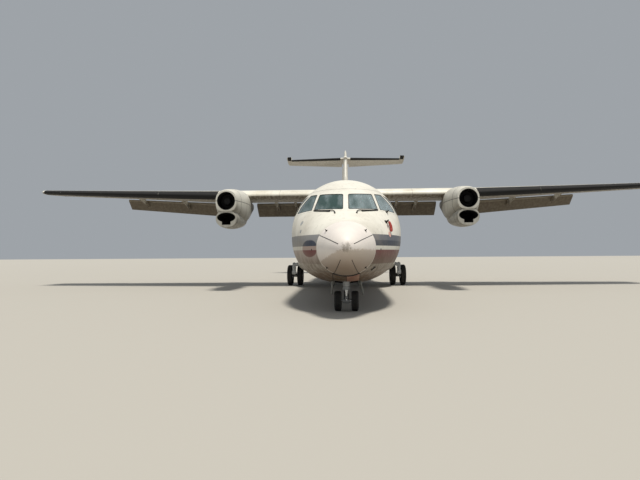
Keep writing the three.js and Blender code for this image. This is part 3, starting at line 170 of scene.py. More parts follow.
def rod(name, p, q, radius, end_radius=None, sides=32):
    """A round bar between two points, straight or tapered."""
    reach = np.linalg.norm(np.subtract(q, p))
    ends = [(0, radius), (reach, radius if end_radius is None else end_radius)]
    return turned(name, p, q, ends, sides)


def pipe(name, path, radius, sides=12):
    """A round section carried along a path of points, turned to face along it at each."""
    path = np.asarray(path, float)
    along = np.gradient(path, axis=0)
    along /= np.linalg.norm(along, axis=1)[:, None]
    guide = np.where(np.abs(along[:, :1]) > 0.9, [[0, 0, 1.0]], [[1.0, 0, 0]])
    across = np.cross(guide, along)
    across /= np.linalg.norm(across, axis=1)[:, None]
    return loft(name, path[:, None] + radius * circle_round(across, np.cross(along, across), sides))


def bar(name, p, q, direction, width, depth):
    """A flat bar from p to q with its width along a direction."""
    wide = np.asarray(direction, float) / np.linalg.norm(direction) * width / 2
    deep = np.cross(np.subtract(q, p), wide)
    deep *= depth / 2 / np.linalg.norm(deep)
    corners = np.array([wide + deep, deep - wide, -wide - deep, wide - deep])
    return loft(name, [np.add(p, corners), np.add(q, corners)])


print("axis and cross directions of a line aft", *round_frame((0, 0, 0), (0, 1, 0)))

# %% [markdown]
# Booleans cut, join or intersect closed solids, and they need outward faces and no holes.
# The manifold solver is used because it's fast and exact on such shapes.


# %% Cutting and joining
def boolean(piece, operation, *others):
    """Cuts, joins or intersects a closed solid with others, which are then deleted."""
    for other in others:
        step = piece.modifiers.new("step", "BOOLEAN")
        step.operation = operation
        step.solver = "MANIFOLD"
        step.object = other
        graph = bpy.context.evaluated_depsgraph_get()
        result = bpy.data.meshes.new_from_object(piece.evaluated_get(graph))
        piece.modifiers.clear()
        piece.data = result
        bpy.data.objects.remove(other)
    return piece


def cut(piece, *others):
    """What is left of a solid outside the others."""
    return boolean(piece, "DIFFERENCE", *others)


def join(piece, *others):
    """Several solids as one."""
    return boolean(piece, "UNION", *others)


def common(piece, *others):
    """What several solids share."""
    return boolean(piece, "INTERSECT", *others)


def merged(name, pieces):
    """Separate solids in one object."""
    with bpy.context.temp_override(active_object=pieces[0], selected_editable_objects=pieces,
                                   selected_objects=pieces):
        bpy.ops.object.join()
    pieces[0].name = name
    return pieces[0]


print("boolean solver MANIFOLD")

# %% [markdown]
# Each finished piece gets a material and the body that carries it; each material's slot, the plain
# name of its kind of finish, is only recorded. Shading is smooth but breaks at true edges. Most pieces come
# in pairs,
# so one is built to port, which is left, and a mirrored copy goes to starboard.

# %% Finishing a piece
SLOT_OF = {}
PIECES_MADE = []


def mirror_copy(piece, name):
    """A copy on the other side of the aircraft, with its faces turned outwards again."""
    other = piece.copy()
    other.data = piece.data.copy()
    other.name = name
    other.data.transform(Matrix.Scale(-1, 4, (1, 0, 0)))
    other.data.flip_normals()
    bpy.context.scene.collection.objects.link(other)
    return other


def soften(piece, limit):
    """Smooth shading, broken where two faces meet at more than the limit."""
    work = bmesh.new()
    work.from_mesh(piece.data)
    for face in work.faces:
        face.smooth = True
    for edge in work.edges:
        edge.smooth = bool(edge.calc_face_angle(0) < limit)
    work.to_mesh(piece.data)
    work.free()


def dress(piece, material, body=ROOT, replaces=(), sharp=32, slot=None):
    """Gives a piece its finish, its body and smooth shading broken at sharp edges."""
    slot = slot or SLOT_OF[material.name]
    piece.data.materials.clear()
    piece.data.materials.append(material)
    soften(piece, np.radians(sharp))
    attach(piece, body)
    if replaces:
        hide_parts(*replaces)
    PIECES_MADE.append(piece)
    return piece


def starboard(name):
    """The name of the starboard twin of a port piece."""
    return name.replace("left", "right")


def pair(piece, material, body=ROOT, replaces=(), slot=None):
    """Dresses a port piece and its starboard copy."""
    dress(piece, material, body, replaces, slot=slot)
    other = mirror_copy(piece, starboard(piece.name))
    return dress(other, material, body, [starboard(node) for node in replaces], slot=slot)


def tell():
    """Prints the pieces made since the last time, with their numbers of faces."""
    print(", ".join(f"{piece.name} {len(piece.data.polygons)}" for piece in PIECES_MADE))
    PIECES_MADE.clear()


print("the twin of wing_left is", starboard("wing_left"))

# %% [markdown]
# The photograph was taken from the ground, close in front of the nose. A wide lens of about
# 66 degrees makes the nose large and the tail small, so the camera's distance matters more
# than anything else for a true likeness.

# %% Camera
CAMERA_AHEAD = 9.3
CAMERA_HEIGHT = 1.303
FOCAL_PIXELS = 490
FRAME_WIDTH = 640
FRAME_HEIGHT = 480
HORIZON_ROW = 252.7
YAW = np.radians(3.04)
ROLL = np.radians(-0.38)
SENSOR = 36

camera_data = bpy.data.cameras.new("camera")
camera_data.sensor_width = SENSOR
camera_data.lens = FOCAL_PIXELS / FRAME_WIDTH * SENSOR
camera = bpy.data.objects.new("camera", camera_data)
bpy.context.scene.collection.objects.link(camera)
bpy.context.scene.camera = camera
pitch = np.arctan((HORIZON_ROW - FRAME_HEIGHT / 2) / FOCAL_PIXELS)
facing = Matrix.Rotation(YAW, 4, "Z") @ Matrix.Rotation(np.pi / 2 + pitch, 4, "X")
camera.matrix_world = (Matrix.Translation((0, -LENGTH / 2000 - CAMERA_AHEAD, CAMERA_HEIGHT))
                       @ facing @ Matrix.Rotation(ROLL, 4, "Z"))

print("pitch in degrees", np.degrees(pitch), "lens in mm", camera_data.lens)

# %% [markdown]
# Materials are graphs of nodes. One function adds any node with its settings and links, and
# another turns the hex colours of a paint chart to the linear values that Blender mixes.
# A pattern's scale is worked out from the real width of its marks in millimetres.


# %% Colours and nodes
def srgb(code):
    """An sRGB hex colour as linear red, green, blue and alpha."""
    values = np.array([int(code[i:i + 2], 16) for i in (1, 3, 5)]) / 255
    linear = np.where(values <= 0.04045, values / 12.92, ((values + 0.055) / 1.055) ** 2.4)
    return (*linear, 1.0)


def add(tree, kind, **values):
    """Adds a shader node. A lower-case name sets a property; a capital or a number such as i0
    sets an input, or links it to a socket or to the first output in use of another node."""
    made = tree.nodes.new("ShaderNode" + kind)
    for key in [key for key in values if hasattr(made, key)]:
        setattr(made, key, values.pop(key))
    for key, value in values.items():
        socket = made.inputs[int(key[1:]) if key[1:].isdigit() else key.replace("_", " ")]
        if isinstance(value, bpy.types.Node):
            value = next(output for output in value.outputs if output.enabled)
        if isinstance(value, bpy.types.NodeSocket):
            tree.links.new(value, socket)
        else:
            socket.default_value = value
    return made


def marks(width):
    """How often a pattern repeats in a metre when its marks are so many millimetres wide."""
    return 1000 / width


def new_material(name, slot=None):
    """An empty node material, with its slot name recorded, and its tree."""
    material = bpy.data.materials.new(name)
    SLOT_OF[material.name] = slot
    material.use_nodes = True
    material.node_tree.nodes.clear()
    return material, material.node_tree


print("mid grey in linear light", srgb("#808080")[0])

# %% [markdown]
# The floor is plain and pale, like a studio's, and a soft sky with one high sun lights the
# aircraft. A wide sun gives the soft-edged shadows of a bright, hazy day.

# %% Floor and light
# Trowelled plaster: matt and faintly cloudy, so it draws no attention.
floor_material, tree = new_material("pale_plaster_floor")
grain = add(tree, "TexNoise", Scale=marks(666.7), Detail=4.0)
tone = add(tree, "ValToRGB", Fac=grain)
tone.color_ramp.elements[0].color = srgb("#AFABA3")
tone.color_ramp.elements[1].color = srgb("#BBB8B0")
shader = add(tree, "BsdfPrincipled", Base_Color=tone, Roughness=0.85)
add(tree, "OutputMaterial", Surface=shader)

FLOOR_HALF = 120000
floor = mesh_object("floor", [(-FLOOR_HALF, -FLOOR_HALF, 0), (FLOOR_HALF, -FLOOR_HALF, 0),
                              (FLOOR_HALF, FLOOR_HALF, 0), (-FLOOR_HALF, FLOOR_HALF, 0)], [range(4)])
floor.data.materials.append(floor_material)

SKY_STRENGTH = 0.45
world = bpy.data.worlds.new("soft_sky")
bpy.context.scene.world = world
world.use_nodes = True
world.node_tree.nodes["Background"].inputs["Color"].default_value = srgb("#E2E9F0")
world.node_tree.nodes["Background"].inputs["Strength"].default_value = SKY_STRENGTH
bpy.context.scene.view_settings.view_transform = "Standard"

SUN_STRENGTH = 3.35
SUN_WIDTH = np.radians(9)
SUN_LEAN, SUN_FROM_ASTERN = np.radians(7), np.radians(12)
sun_data = bpy.data.lights.new("high_sun", "SUN")
sun_data.energy = SUN_STRENGTH
sun_data.angle = SUN_WIDTH
sun_data.color = srgb("#FFF9EE")[:3]
sun = bpy.data.objects.new("high_sun", sun_data)
sun.matrix_world = Matrix.Rotation(SUN_LEAN, 4, "Y") @ Matrix.Rotation(SUN_FROM_ASTERN, 4, "X")
bpy.context.scene.collection.objects.link(sun)
print("floor", 2 * FLOOR_HALF / 1000, "m wide; sun", SUN_STRENGTH, "sky", SKY_STRENGTH)

# %% [markdown]
# The white is a polyurethane enamel over aluminium skin, sprayed and then left outdoors for
# years. Sun dulls its gloss, rain draws grey streaks down from seams, and dust gathers in
# broad patches. One builder makes all the painted skins, so the dirt matches, and each finish
# only changes its colours, stripes and seams. Stripes are bands of height, as a sprayer masks
# them, and seams are thin dark lines at the real joints of the panels.

# %% Stripes and seams
CHALK_WHITE = "#E3E0D6"
DUST = "#A89C88"
RAIN_GREY = "#8A8780"
SPLASH_BROWN = "#6E675C"
FRESH_STRIPE = "#B09A90"
SEAM_DARK = "#3C3A38"
UNDERSIDE_GRIME_AND_SHADE = "#5F5546"
RED_DUST_AND_SHADE = "#5E4935"
SOOT_AND_SHADE = "#3A342C"
BLEACHED_FROM, BLEACHED_TO = -0.5, -0.3
FRESH_DISC = Sizes(x=-0.79, z=1.395, radius=0.195, edge=0.02, behind=-9.3)


def seam_mask(tree, value, places, half_width):
    """One where a coordinate lies within half_width of any of the places, else zero."""
    mask = None
    for place in places:
        near = add(tree, "Math", operation="COMPARE", i0=value, i1=place, i2=half_width)
        mask = near if mask is None else add(tree, "Math", operation="MAXIMUM", i0=mask, i1=near)
    return mask


def stripe_strength(tree, axes, wear):
    """How much stripe paint is left: 1 to port and 0 to starboard where the sun has bleached it,
    but 1 in one round patch that a plate had covered; and that patch by itself."""
    side = add(tree, "MapRange", Value=axes.outputs["X"], From_Min=BLEACHED_FROM, From_Max=BLEACHED_TO)
    patchy = add(tree, "Math", operation="MULTIPLY_ADD", i0=wear, i1=-0.5, i2=1.2)
    left = add(tree, "Math", operation="MULTIPLY", use_clamp=True, i0=side, i1=patchy)
    across = add(tree, "Math", operation="SUBTRACT", i0=axes.outputs["X"], i1=FRESH_DISC.x)
    rise = add(tree, "Math", operation="SUBTRACT", i0=axes.outputs["Z"], i1=FRESH_DISC.z)
    offset = add(tree, "CombineXYZ", X=across, Y=rise)
    reach = add(tree, "VectorMath", operation="LENGTH", Vector=offset)
    disc = add(tree, "MapRange", Value=reach, From_Min=FRESH_DISC.radius,
               From_Max=FRESH_DISC.radius - FRESH_DISC.edge)
    ahead = add(tree, "Math", operation="LESS_THAN", i0=axes.outputs["Y"], i1=FRESH_DISC.behind)
    disc = add(tree, "Math", operation="MULTIPLY", i0=disc, i1=ahead)
    both = add(tree, "Math", operation="MAXIMUM", i0=left, i1=disc)
    return both, disc


print("bleached patch", 2 * FRESH_DISC.radius, "m across")

# %% Weathered enamel
PATCH_WIDTH, RAIN_WIDTH, SPECK_WIDTH = 1111, 625, 26.32


def painted_skin(name, colour=CHALK_WHITE, fresh="#F0EDE3", stripes=(), seams_y=(), seams_z=(),
                 seams_x=(), seam_half=0.004, dirt=0.5, gloss=0.42, grime_and_shade=0.6, dust_and_shade_below=None,
                 soot_and_shade_aft=None):
    """Weathered enamel. Stripes are (bottom, top, colour, share left to starboard) bands of height
    in metres, and seams are places along y, z or x. Downward faces darken, as grime and painted
    shade. Dust with painted shade can thicken below a height, and soot with painted shade aft of
    a place, each given as (from, to, amount, colour)."""
    material, tree = new_material(name, "white_paint")
    coordinates = add(tree, "TexCoord")
    where = coordinates.outputs["Object"]
    axes = add(tree, "SeparateXYZ", Vector=where)
    facing_way = add(tree, "SeparateXYZ", Vector=coordinates.outputs["Normal"])
    # Chalk comes in patches about a metre wide, rain in streaks, and splashes are inch-wide.
    patches = add(tree, "TexNoise", Vector=where, Scale=marks(PATCH_WIDTH), Detail=6.0, Roughness=0.62)
    tall = add(tree, "Mapping", Vector=where, Scale=(7.0, 7.0, 0.55))
    rain = add(tree, "TexNoise", Vector=tall, Scale=marks(RAIN_WIDTH), Detail=7.0, Roughness=0.6)
    specks = add(tree, "TexNoise", Vector=where, Scale=marks(SPECK_WIDTH), Detail=3.0, Roughness=0.7)
    chalk = add(tree, "MapRange", Value=patches, From_Min=0.35, From_Max=0.65)
    base = add(tree, "Mix", data_type="RGBA", i0=chalk, i6=srgb(fresh), i7=srgb(colour))
    if stripes:
        left, disc = stripe_strength(tree, axes, specks)
        base = add(tree, "Mix", data_type="RGBA", i0=disc, i6=base, i7=srgb(FRESH_STRIPE))
    for low, high, band, bleached in stripes:
        mask = add(tree, "Math", operation="COMPARE", i0=axes.outputs["Z"], i1=(low + high) / 2,
                   i2=(high - low) / 2)
        kept = add(tree, "MapRange", Value=left, To_Min=bleached)
        mask = add(tree, "Math", operation="MULTIPLY", i0=mask, i1=kept)
        base = add(tree, "Mix", data_type="RGBA", i0=mask, i6=base, i7=srgb(band))
    layers = [(patches, 0.48, 0.78, dirt * 0.55, DUST),
              (rain, 0.55, 0.8, dirt * 0.6, RAIN_GREY),
              (specks, 0.68, 0.74, dirt * 0.55, SPLASH_BROWN)]
    for value, start, end, amount, tone in layers:
        share = add(tree, "MapRange", Value=value, From_Min=start, From_Max=end, To_Max=amount)
        base = add(tree, "Mix", data_type="RGBA", i0=share, i6=base, i7=srgb(tone))
    # Faces that point down darken: grime, and painted shade under the aircraft.
    slopes = [(facing_way.outputs["Z"], 0.05, -0.55, grime_and_shade, UNDERSIDE_GRIME_AND_SHADE)]
    # Below a height the paint darkens: dust, and painted shade under the body.
    if dust_and_shade_below:
        slopes.append((axes.outputs["Z"], *dust_and_shade_below))
    # Aft of a place the paint blackens: soot, and painted shade under the wing.
    if soot_and_shade_aft:
        slopes.append((axes.outputs["Y"], *soot_and_shade_aft))
    for value, start, end, amount, tone in slopes:
        ragged = add(tree, "Math", operation="MULTIPLY_ADD", i0=rain, i1=1.1, i2=0.4)
        share = add(tree, "MapRange", interpolation_type="SMOOTHSTEP", Value=value, From_Min=start,
                    From_Max=end, To_Max=amount)
        share = add(tree, "Math", operation="MULTIPLY", use_clamp=True, i0=share, i1=ragged)
        base = add(tree, "Mix", data_type="RGBA", i0=share, i6=base, i7=srgb(tone))
    height = add(tree, "Math", operation="MULTIPLY", i0=patches, i1=0.15)
    for axis, places in (("Y", seams_y), ("Z", seams_z), ("X", seams_x)):
        if len(places):
            mask = seam_mask(tree, axes.outputs[axis], places, seam_half)
            soft = add(tree, "Math", operation="MULTIPLY", i0=mask, i1=0.7)
            base = add(tree, "Mix", data_type="RGBA", i0=soft, i6=base, i7=srgb(SEAM_DARK))
            height = add(tree, "Math", operation="SUBTRACT", i0=height, i1=mask)
    rough = add(tree, "MapRange", Value=rain, From_Min=0.3, From_Max=0.8,
                To_Min=gloss - 0.06, To_Max=gloss + 0.25)
    relief = add(tree, "Bump", Strength=0.25, Distance=0.004, Height=height)
    shader = add(tree, "BsdfPrincipled", Base_Color=base, Roughness=rough, Normal=relief)
    add(tree, "OutputMaterial", Surface=shader)
    return material


STRIPE_SLATE = "#62656E"
STRIPE_NAVY = "#323A4A"
STRIPE_MAROON = "#6E2227"
STRIPES = [(1.565, 1.69, STRIPE_SLATE, 0.8), (1.445, 1.565, STRIPE_NAVY, 0.7),
           (1.06, 1.36, STRIPE_MAROON, 0.5)]
print("stripes", len(STRIPES), "from", STRIPES[-1][0], "to", STRIPES[0][1], "m up")


# %% The aircraft's enamels
def row_y(station):
    """A station in millimetres as a y coordinate in metres."""
    return (station - LENGTH / 2) / 1000


FRAME_SEAMS = [row_y(s) for s in (4000, 6250, 8300, 10500, 12800, 14750, 16150, 17500, 19400)]
COWL_SEAMS = [row_y(s) for s in (7480, 8450, 9150, 10500)]
RIB_SEAMS = [side * x for side in (-1, 1) for x in (2.5, 4.83, 6.4, 8.0, 9.7, 11.0)]

# Chalky white with stripes, dust splashed along the belly, and brown low down as dust with painted shade.
fuselage_enamel = painted_skin("fuselage_enamel", stripes=STRIPES, seams_y=FRAME_SEAMS,
                               seams_z=[0.905, 2.86], dirt=0.7, grime_and_shade=0.8, fresh="#EDEADF",
                               dust_and_shade_below=(1.3, 0.7, 0.95, RED_DUST_AND_SHADE))
# The same stripes over road dirt: the wheels throw it at the sponsons.
sponson_enamel = painted_skin("sponson_enamel", dirt=0.75, stripes=STRIPES)
# Cream, as sun yellows it, and nearly black below, as exhaust grime and painted shade.
wing_enamel = painted_skin("wing_enamel", colour="#DDD8C8", dirt=0.5, seams_x=RIB_SEAMS, grime_and_shade=0.95)
# Greyer, with wide cowl gaps; its lower half greys as dust and painted shade, and a sooty stain that grows
# aft is soot with painted shade.
nacelle_enamel = painted_skin("nacelle_enamel", colour="#CFCDC3", dirt=0.7, seams_z=[3.08], grime_and_shade=0.45,
                              seams_y=COWL_SEAMS, soot_and_shade_aft=(row_y(8800), row_y(10400), 0.7, SOOT_AND_SHADE),
                              seam_half=0.012, fresh="#DEDCD2", dust_and_shade_below=(3.15, 2.45, 0.6, "#77756F"))
# High up and washed by rain, so cleaner than the rest.
tail_enamel = painted_skin("tail_enamel", dirt=0.5, seams_z=[4.2, 5.6], seams_x=[-1.8, 1.8])
# Plain white for small parts, dirty from hands and boots.
part_enamel = painted_skin("part_enamel", dirt=0.7)
# Brown-grey, because flaps hang in the exhaust and the wheels' spray, and darker still as painted shade
# under the wing.
shaded_flap_enamel = painted_skin("shaded_flap_enamel", colour="#8C8374", fresh="#9A9182", dirt=0.6, grime_and_shade=0.95)
print("enamels", [name for name in SLOT_OF if name.endswith("enamel")])

# %% [markdown]
# The radome is a glass fibre shell over the radar, so it takes paint differently from metal.
# Stones chip it, and its lower half is painted brown, as red dust where bugs have left it rough and as
# painted shade. The chipped edge of the newer coat runs down the starboard side from the scuffed tip.

# %% Radome coating
# Matt warm white over primer, with a ragged chipped edge and a soft brown fade below: red dust, with painted
# shade and a painted reflection of the red ground.
radome_enamel, tree = new_material("chipped_radome_coating", "white_paint")
where = add(tree, "TexCoord").outputs["Object"]
axes = add(tree, "SeparateXYZ", Vector=where)
cloud = add(tree, "TexNoise", Vector=where, Scale=marks(454.5), Detail=7.0, Roughness=0.65)
flakes = add(tree, "TexNoise", Vector=where, Scale=marks(62.5), Detail=5.0, Roughness=0.7)
coat = add(tree, "Mix", data_type="RGBA", i0=cloud, i6=srgb("#F6F1E7"), i7=srgb("#DDD4D2"))
edge = add(tree, "Math", operation="MULTIPLY_ADD", i0=axes.outputs["X"], i1=0.6, i2=1.463)
edge = add(tree, "Math", operation="MINIMUM", i0=edge, i1=1.385)
depth = add(tree, "Math", operation="SUBTRACT", i0=edge, i1=axes.outputs["Z"])
depth = add(tree, "Math", operation="MULTIPLY_ADD", i0=flakes, i1=0.16, i2=depth)
chipped = add(tree, "MapRange", Value=depth, From_Min=0.085, From_Max=0.115, To_Max=0.6)
# Lower down the coat browns and darkens: dust, painted shade and painted reflection of red ground.
radome_dust_and_shade = add(tree, "MapRange", interpolation_type="SMOOTHSTEP", Value=axes.outputs["Z"],
            From_Min=1.42, From_Max=0.95)
soil_and_shade = add(tree, "Mix", data_type="RGBA", i0=radome_dust_and_shade, i6=srgb("#C0AE9A"), i7=srgb("#6E5540"))
base = add(tree, "Mix", data_type="RGBA", i0=chipped, i6=coat, i7=soil_and_shade)
shadow = add(tree, "Math", operation="MULTIPLY", i0=radome_dust_and_shade, i1=0.7)
base = add(tree, "Mix", data_type="RGBA", i0=shadow, i6=base, i7=srgb("#786450"))
tip = add(tree, "VectorMath", operation="DISTANCE", i0=where, i1=(0, row_y(0), 1.4))
near = add(tree, "MapRange", Value=tip, From_Min=0.24, From_Max=0.03, To_Max=0.42)
wear = add(tree, "Math", operation="ADD", i0=near, i1=flakes)
scuff = add(tree, "MapRange", Value=wear, From_Min=0.74, From_Max=0.95, To_Max=0.6)
base = add(tree, "Mix", data_type="RGBA", i0=scuff, i6=base, i7=srgb("#7A7064"))
relief = add(tree, "Bump", Strength=0.3, Distance=0.003, Height=flakes)
shader = add(tree, "BsdfPrincipled", Base_Color=base, Roughness=0.5, Normal=relief)
add(tree, "OutputMaterial", Surface=shader)
print("radome coating of", len(tree.nodes), "nodes")

# %% [markdown]
# The rest are simple finishes: two close tones, mottled, with a fine relief of the same
# pattern. A metal has a metallic value near one, and rubber and cloth a high roughness. The
# number after the tones is the width of the mottling in millimetres.


# %% Mottled finishes
def speckled(name, dark, light, width, roughness, slot="panel_plastic", metallic=0.0, bump=0.15,
             reach=0.002):
    """A one-colour finish with mottling and a fine relief of the same pattern."""
    material, tree = new_material(name, slot)
    where = add(tree, "TexCoord").outputs["Object"]
    mottle = add(tree, "TexNoise", Vector=where, Scale=marks(width), Detail=5.0, Roughness=0.6)
    tone = add(tree, "ValToRGB", Fac=mottle)
    tone.color_ramp.elements[0].position = 0.3
    tone.color_ramp.elements[1].position = 0.72
    tone.color_ramp.elements[0].color = srgb(dark)
    tone.color_ramp.elements[1].color = srgb(light)
    rough = add(tree, "MapRange", Value=mottle, To_Min=max(roughness - 0.1, 0.05),
                To_Max=min(roughness + 0.12, 1.0))
    relief = add(tree, "Bump", Strength=bump, Distance=reach, Height=mottle)
    shader = add(tree, "BsdfPrincipled", Base_Color=tone, Roughness=rough, Metallic=metallic,
                 Normal=relief)
    add(tree, "OutputMaterial", Surface=shader)
    return material


print("a speckle of 100 mm repeats", marks(100), "times in a metre")

# %% Metals
# Sprayed grey enamel on steel legs: flat and slightly cloudy.
gear_enamel = speckled("gear_enamel", "#85888A", "#B9BBBA", 166.7, 0.45, "gear_paint")
# Forged alloy, dulled by brake dust.
hub_alloy = speckled("cast_wheel_alloy", "#7E8184", "#A8AAAB", 83.33, 0.45, "wheel_alloy", metallic=0.8)
# Rolled aluminium, bare and soft in its shine.
bare_alloy = speckled("bare_aluminium", "#8C8E90", "#B2B4B6", 100, 0.35, "wheel_alloy", metallic=0.9)
# Plated and ground, so nearly a mirror.
chrome = speckled("hard_chrome", "#9A9C9E", "#C4C6C8", 40, 0.15, "wheel_alloy", metallic=1.0, bump=0.02)
# Heat turns the pipe brown in big blotches.
burnt_steel = speckled("burnt_exhaust_steel", "#2E2420", "#6A5546", 142.9, 0.55, "exhaust_metal",
                       metallic=0.8)
# A cast casing under oil and soot, painted nearly black as the shade deep in the hole: hardly a gleam.
engine_soot_and_shade = speckled("oily_cast_magnesium_and_shade", "#020203", "#08080A", 71.43, 0.8, "engine_metal")
# Heated probes go dark and dull.
probe_steel = speckled("blackened_probe_steel", "#1C1B1A", "#3A3733", 16.67, 0.5, metallic=0.5)
print("metals", chrome.name, bare_alloy.name, hub_alloy.name)

# %% Rubbers, plastics, paints and cloth
# Neoprene, buffed by hail: black with a broad dull sheen.
boot_rubber = speckled("deicing_boot_rubber", "#070708", "#121214", 111.1, 0.8, "tyre_rubber", bump=0.2)
# Extruded seals: softer black than the boots.
gasket_rubber = speckled("gasket_rubber", "#1A1A1B", "#2E2D2B", 33.33, 0.7)
# Moulded tyres, browned by dry dust.
tyre_rubber = speckled("tyre_rubber", "#1B1B1C", "#35332F", 71.43, 0.85, "tyre_rubber", bump=0.3)
# Dark grained plastic that keeps reflections off the glass.
cockpit_plastic = speckled("moulded_cockpit_plastic", "#17191B", "#2B2E30", 50, 0.65)
# Sprayed matt, for wipers and the hood.
black_paint = speckled("matt_black_paint", "#121213", "#232323", 50, 0.7)
# Unlit displays: the one sharp gleam in a dark room.
cockpit_screen = speckled("dark_display_glass", "#0A0D10", "#141B20", 200, 0.12, "flight_deck_glass")
# Cast lenses: deep red to port, green to starboard.
port_lens = speckled("red_acrylic_lens", "#8A1511", "#A82019", 125, 0.15, "flight_deck_glass")
starboard_lens = speckled("green_acrylic_lens", "#0E5A34", "#197A48", 125, 0.15, "flight_deck_glass")
# Pressed lamp glass, whitish from inside.
lamp_lens = speckled("moulded_lamp_glass", "#B8BCBC", "#DADCDA", 33.33, 0.15, "flight_deck_glass")
# Soot, and painted shade: near black, so ducts look bottomless.
duct_soot_and_shade = speckled("sooty_duct_lining", "#050506", "#0D0D0E", 83.33, 0.9)
# Old primer that shows on one nose door.
rusty_maroon = speckled("worn_maroon_primer", "#7E5348", "#A58672", 200, 0.6)
# Trowelled filler, nearly the colour of the paint beside it.
seam_filler = speckled("weathered_seam_filler", "#CDC8BD", "#E6E2D8", 33.33, 0.6)
# Doors seen from inside the bay, grey with oil mist and darker with painted shade under the nose.
shaded_bay_grey = speckled("dirty_shaded_grey_door_paint", "#6A6C68", "#8C8E88", 200, 0.6)
# Red that the sun has turned to pink.
faded_pink = speckled("sun_bleached_red_paint", "#C9968A", "#DDB9AE", 83.33, 0.6, "white_paint")
# Coated cloth of the covers, faded but still the brightest spot.
red_vinyl = speckled("faded_red_vinyl", "#8E2A24", "#B4453A", 33.33, 0.6)
# Woven wool. Threads of 1 mm would not show, so the weave is drawn about 4 mm wide.
seat_cloth = speckled("woven_seat_cloth", "#20283A", "#38445C", 3.846, 0.95, "seat_cloth", bump=0.5,
                      reach=0.001)
print("finishes so far", len(SLOT_OF))

# %% [markdown]
# Flight deck panes are two sheets of glass with a plastic layer between them. Light passes
# through, but age has clouded the layer and dust lies outside, so the panes are milky blue
# above a green tint; their pale slanting streaks and lighter port side are painted reflection of the sky.

# %% Laminated glass
# Half clear: the seats show as dark shapes behind slanting streaks, which are haze and painted reflection.
glass, tree = new_material("laminated_glass", "flight_deck_glass")
where = add(tree, "TexCoord").outputs["Object"]
slanted = add(tree, "Mapping", Vector=where, Rotation=(0, 0.6, 0), Scale=(2.6, 0.6, 1.0))
haze_and_reflection = add(tree, "TexNoise", Vector=slanted, Scale=marks(666.7), Detail=5.0)
across = add(tree, "SeparateXYZ", Vector=where)
# Port panes are lighter: a painted reflection of the sky.
painted_sky_reflection = add(tree, "MapRange", Value=across.outputs["X"], From_Min=-0.2, From_Max=0.4,
               To_Min=-0.02, To_Max=0.2)
haze_and_reflection = add(tree, "Math", operation="ADD", i0=haze_and_reflection, i1=painted_sky_reflection)
tint_and_reflection = add(tree, "ValToRGB", Fac=haze_and_reflection)
tint_and_reflection.color_ramp.elements[0].position = 0.38
tint_and_reflection.color_ramp.elements[1].position = 0.66
tint_and_reflection.color_ramp.elements[0].color = srgb("#3A625B")
tint_and_reflection.color_ramp.elements[1].color = srgb("#B4C6CA")
dust = add(tree, "MapRange", Value=haze_and_reflection, From_Min=0.35, From_Max=0.8, To_Min=0.04, To_Max=0.3)
shader = add(tree, "BsdfPrincipled", Base_Color=tint_and_reflection, Roughness=dust, IOR=1.5)
shader.inputs["Transmission Weight"].default_value = 0.6
add(tree, "OutputMaterial", Surface=shader)
print("glass with an index of", shader.inputs["IOR"].default_value)

# %% [markdown]
# The fuselage is a pressure tube with a nose and a tapering tail. Each section is two half
# superellipses that meet at the widest line, and smooth curves run through a short table of
# section sizes. A tube of rings follows those curves far more finely than the frame's own
# solids, and the same outlines cut the same windows, bays and doors out of it.

# %% Smooth curves and sections
FUSELAGE_TABLE = np.array([
    [0, 0, 1400, 1400, 1400, 2], [100, 215, 1600, 1195, 1398, 2], [400, 410, 1790, 1000, 1400, 2],
    [950, 620, 1965, 820, 1420, 2.05], [1500, 930, 2215, 670, 1500, 2.2],
    [2200, 1200, 2610, 590, 1620, 2.35], [3000, 1365, 3010, 570, 1750, 2.4],
    [3800, 1425, 3240, 570, 1835, 2.4], [4600, 1432.5, 3290, 570, 1858, 2.4],
    [12800, 1432.5, 3290, 570, 1858, 2.4], [14500, 1400, 3290, 720, 1940, 2.3],
    [16500, 1220, 3262, 1150, 2150, 2.15], [18500, 880, 3180, 1700, 2420, 2],
    [20200, 500, 3060, 2220, 2640, 2], [21200, 220, 2935, 2520, 2730, 2],
    [21500, 90, 2880, 2620, 2750, 2]])  # station, half width, top, bottom, widest, squareness below


def curve(table, column, stations):
    """A line through one column that never overshoots: cubic steps against the root of the
    station, with slopes that are the harmonic mean of the rises on either side."""
    at = np.sqrt(table[:, 0])
    value = table[:, column]
    rise = np.diff(value) / np.diff(at)
    before, after = np.append(rise[:1], rise), np.append(rise, rise[-1:])
    with np.errstate(divide="ignore", invalid="ignore"):
        slope = np.where(before * after > 0, 2 * before * after / (before + after), 0.0)
    where = np.clip(np.sqrt(np.asarray(stations, float)), at[0], at[-1])
    k = np.clip(np.searchsorted(at, where, side="right") - 1, 0, len(at) - 2)
    width = at[k + 1] - at[k]
    t = (where - at[k]) / width
    return ((2 * t**3 - 3 * t**2 + 1) * value[k] + (t**3 - 2 * t**2 + t) * width * slope[k]
            + (3 * t**2 - 2 * t**3) * value[k + 1] + (t**3 - t**2) * width * slope[k + 1])


def spread(start, end, pieces):
    """Stations from start to end, closer together towards the nose."""
    return np.linspace(np.sqrt(start), np.sqrt(end), pieces + 1) ** 2


print("half width at the wing", curve(FUSELAGE_TABLE, 1, [9150])[0], "mm")


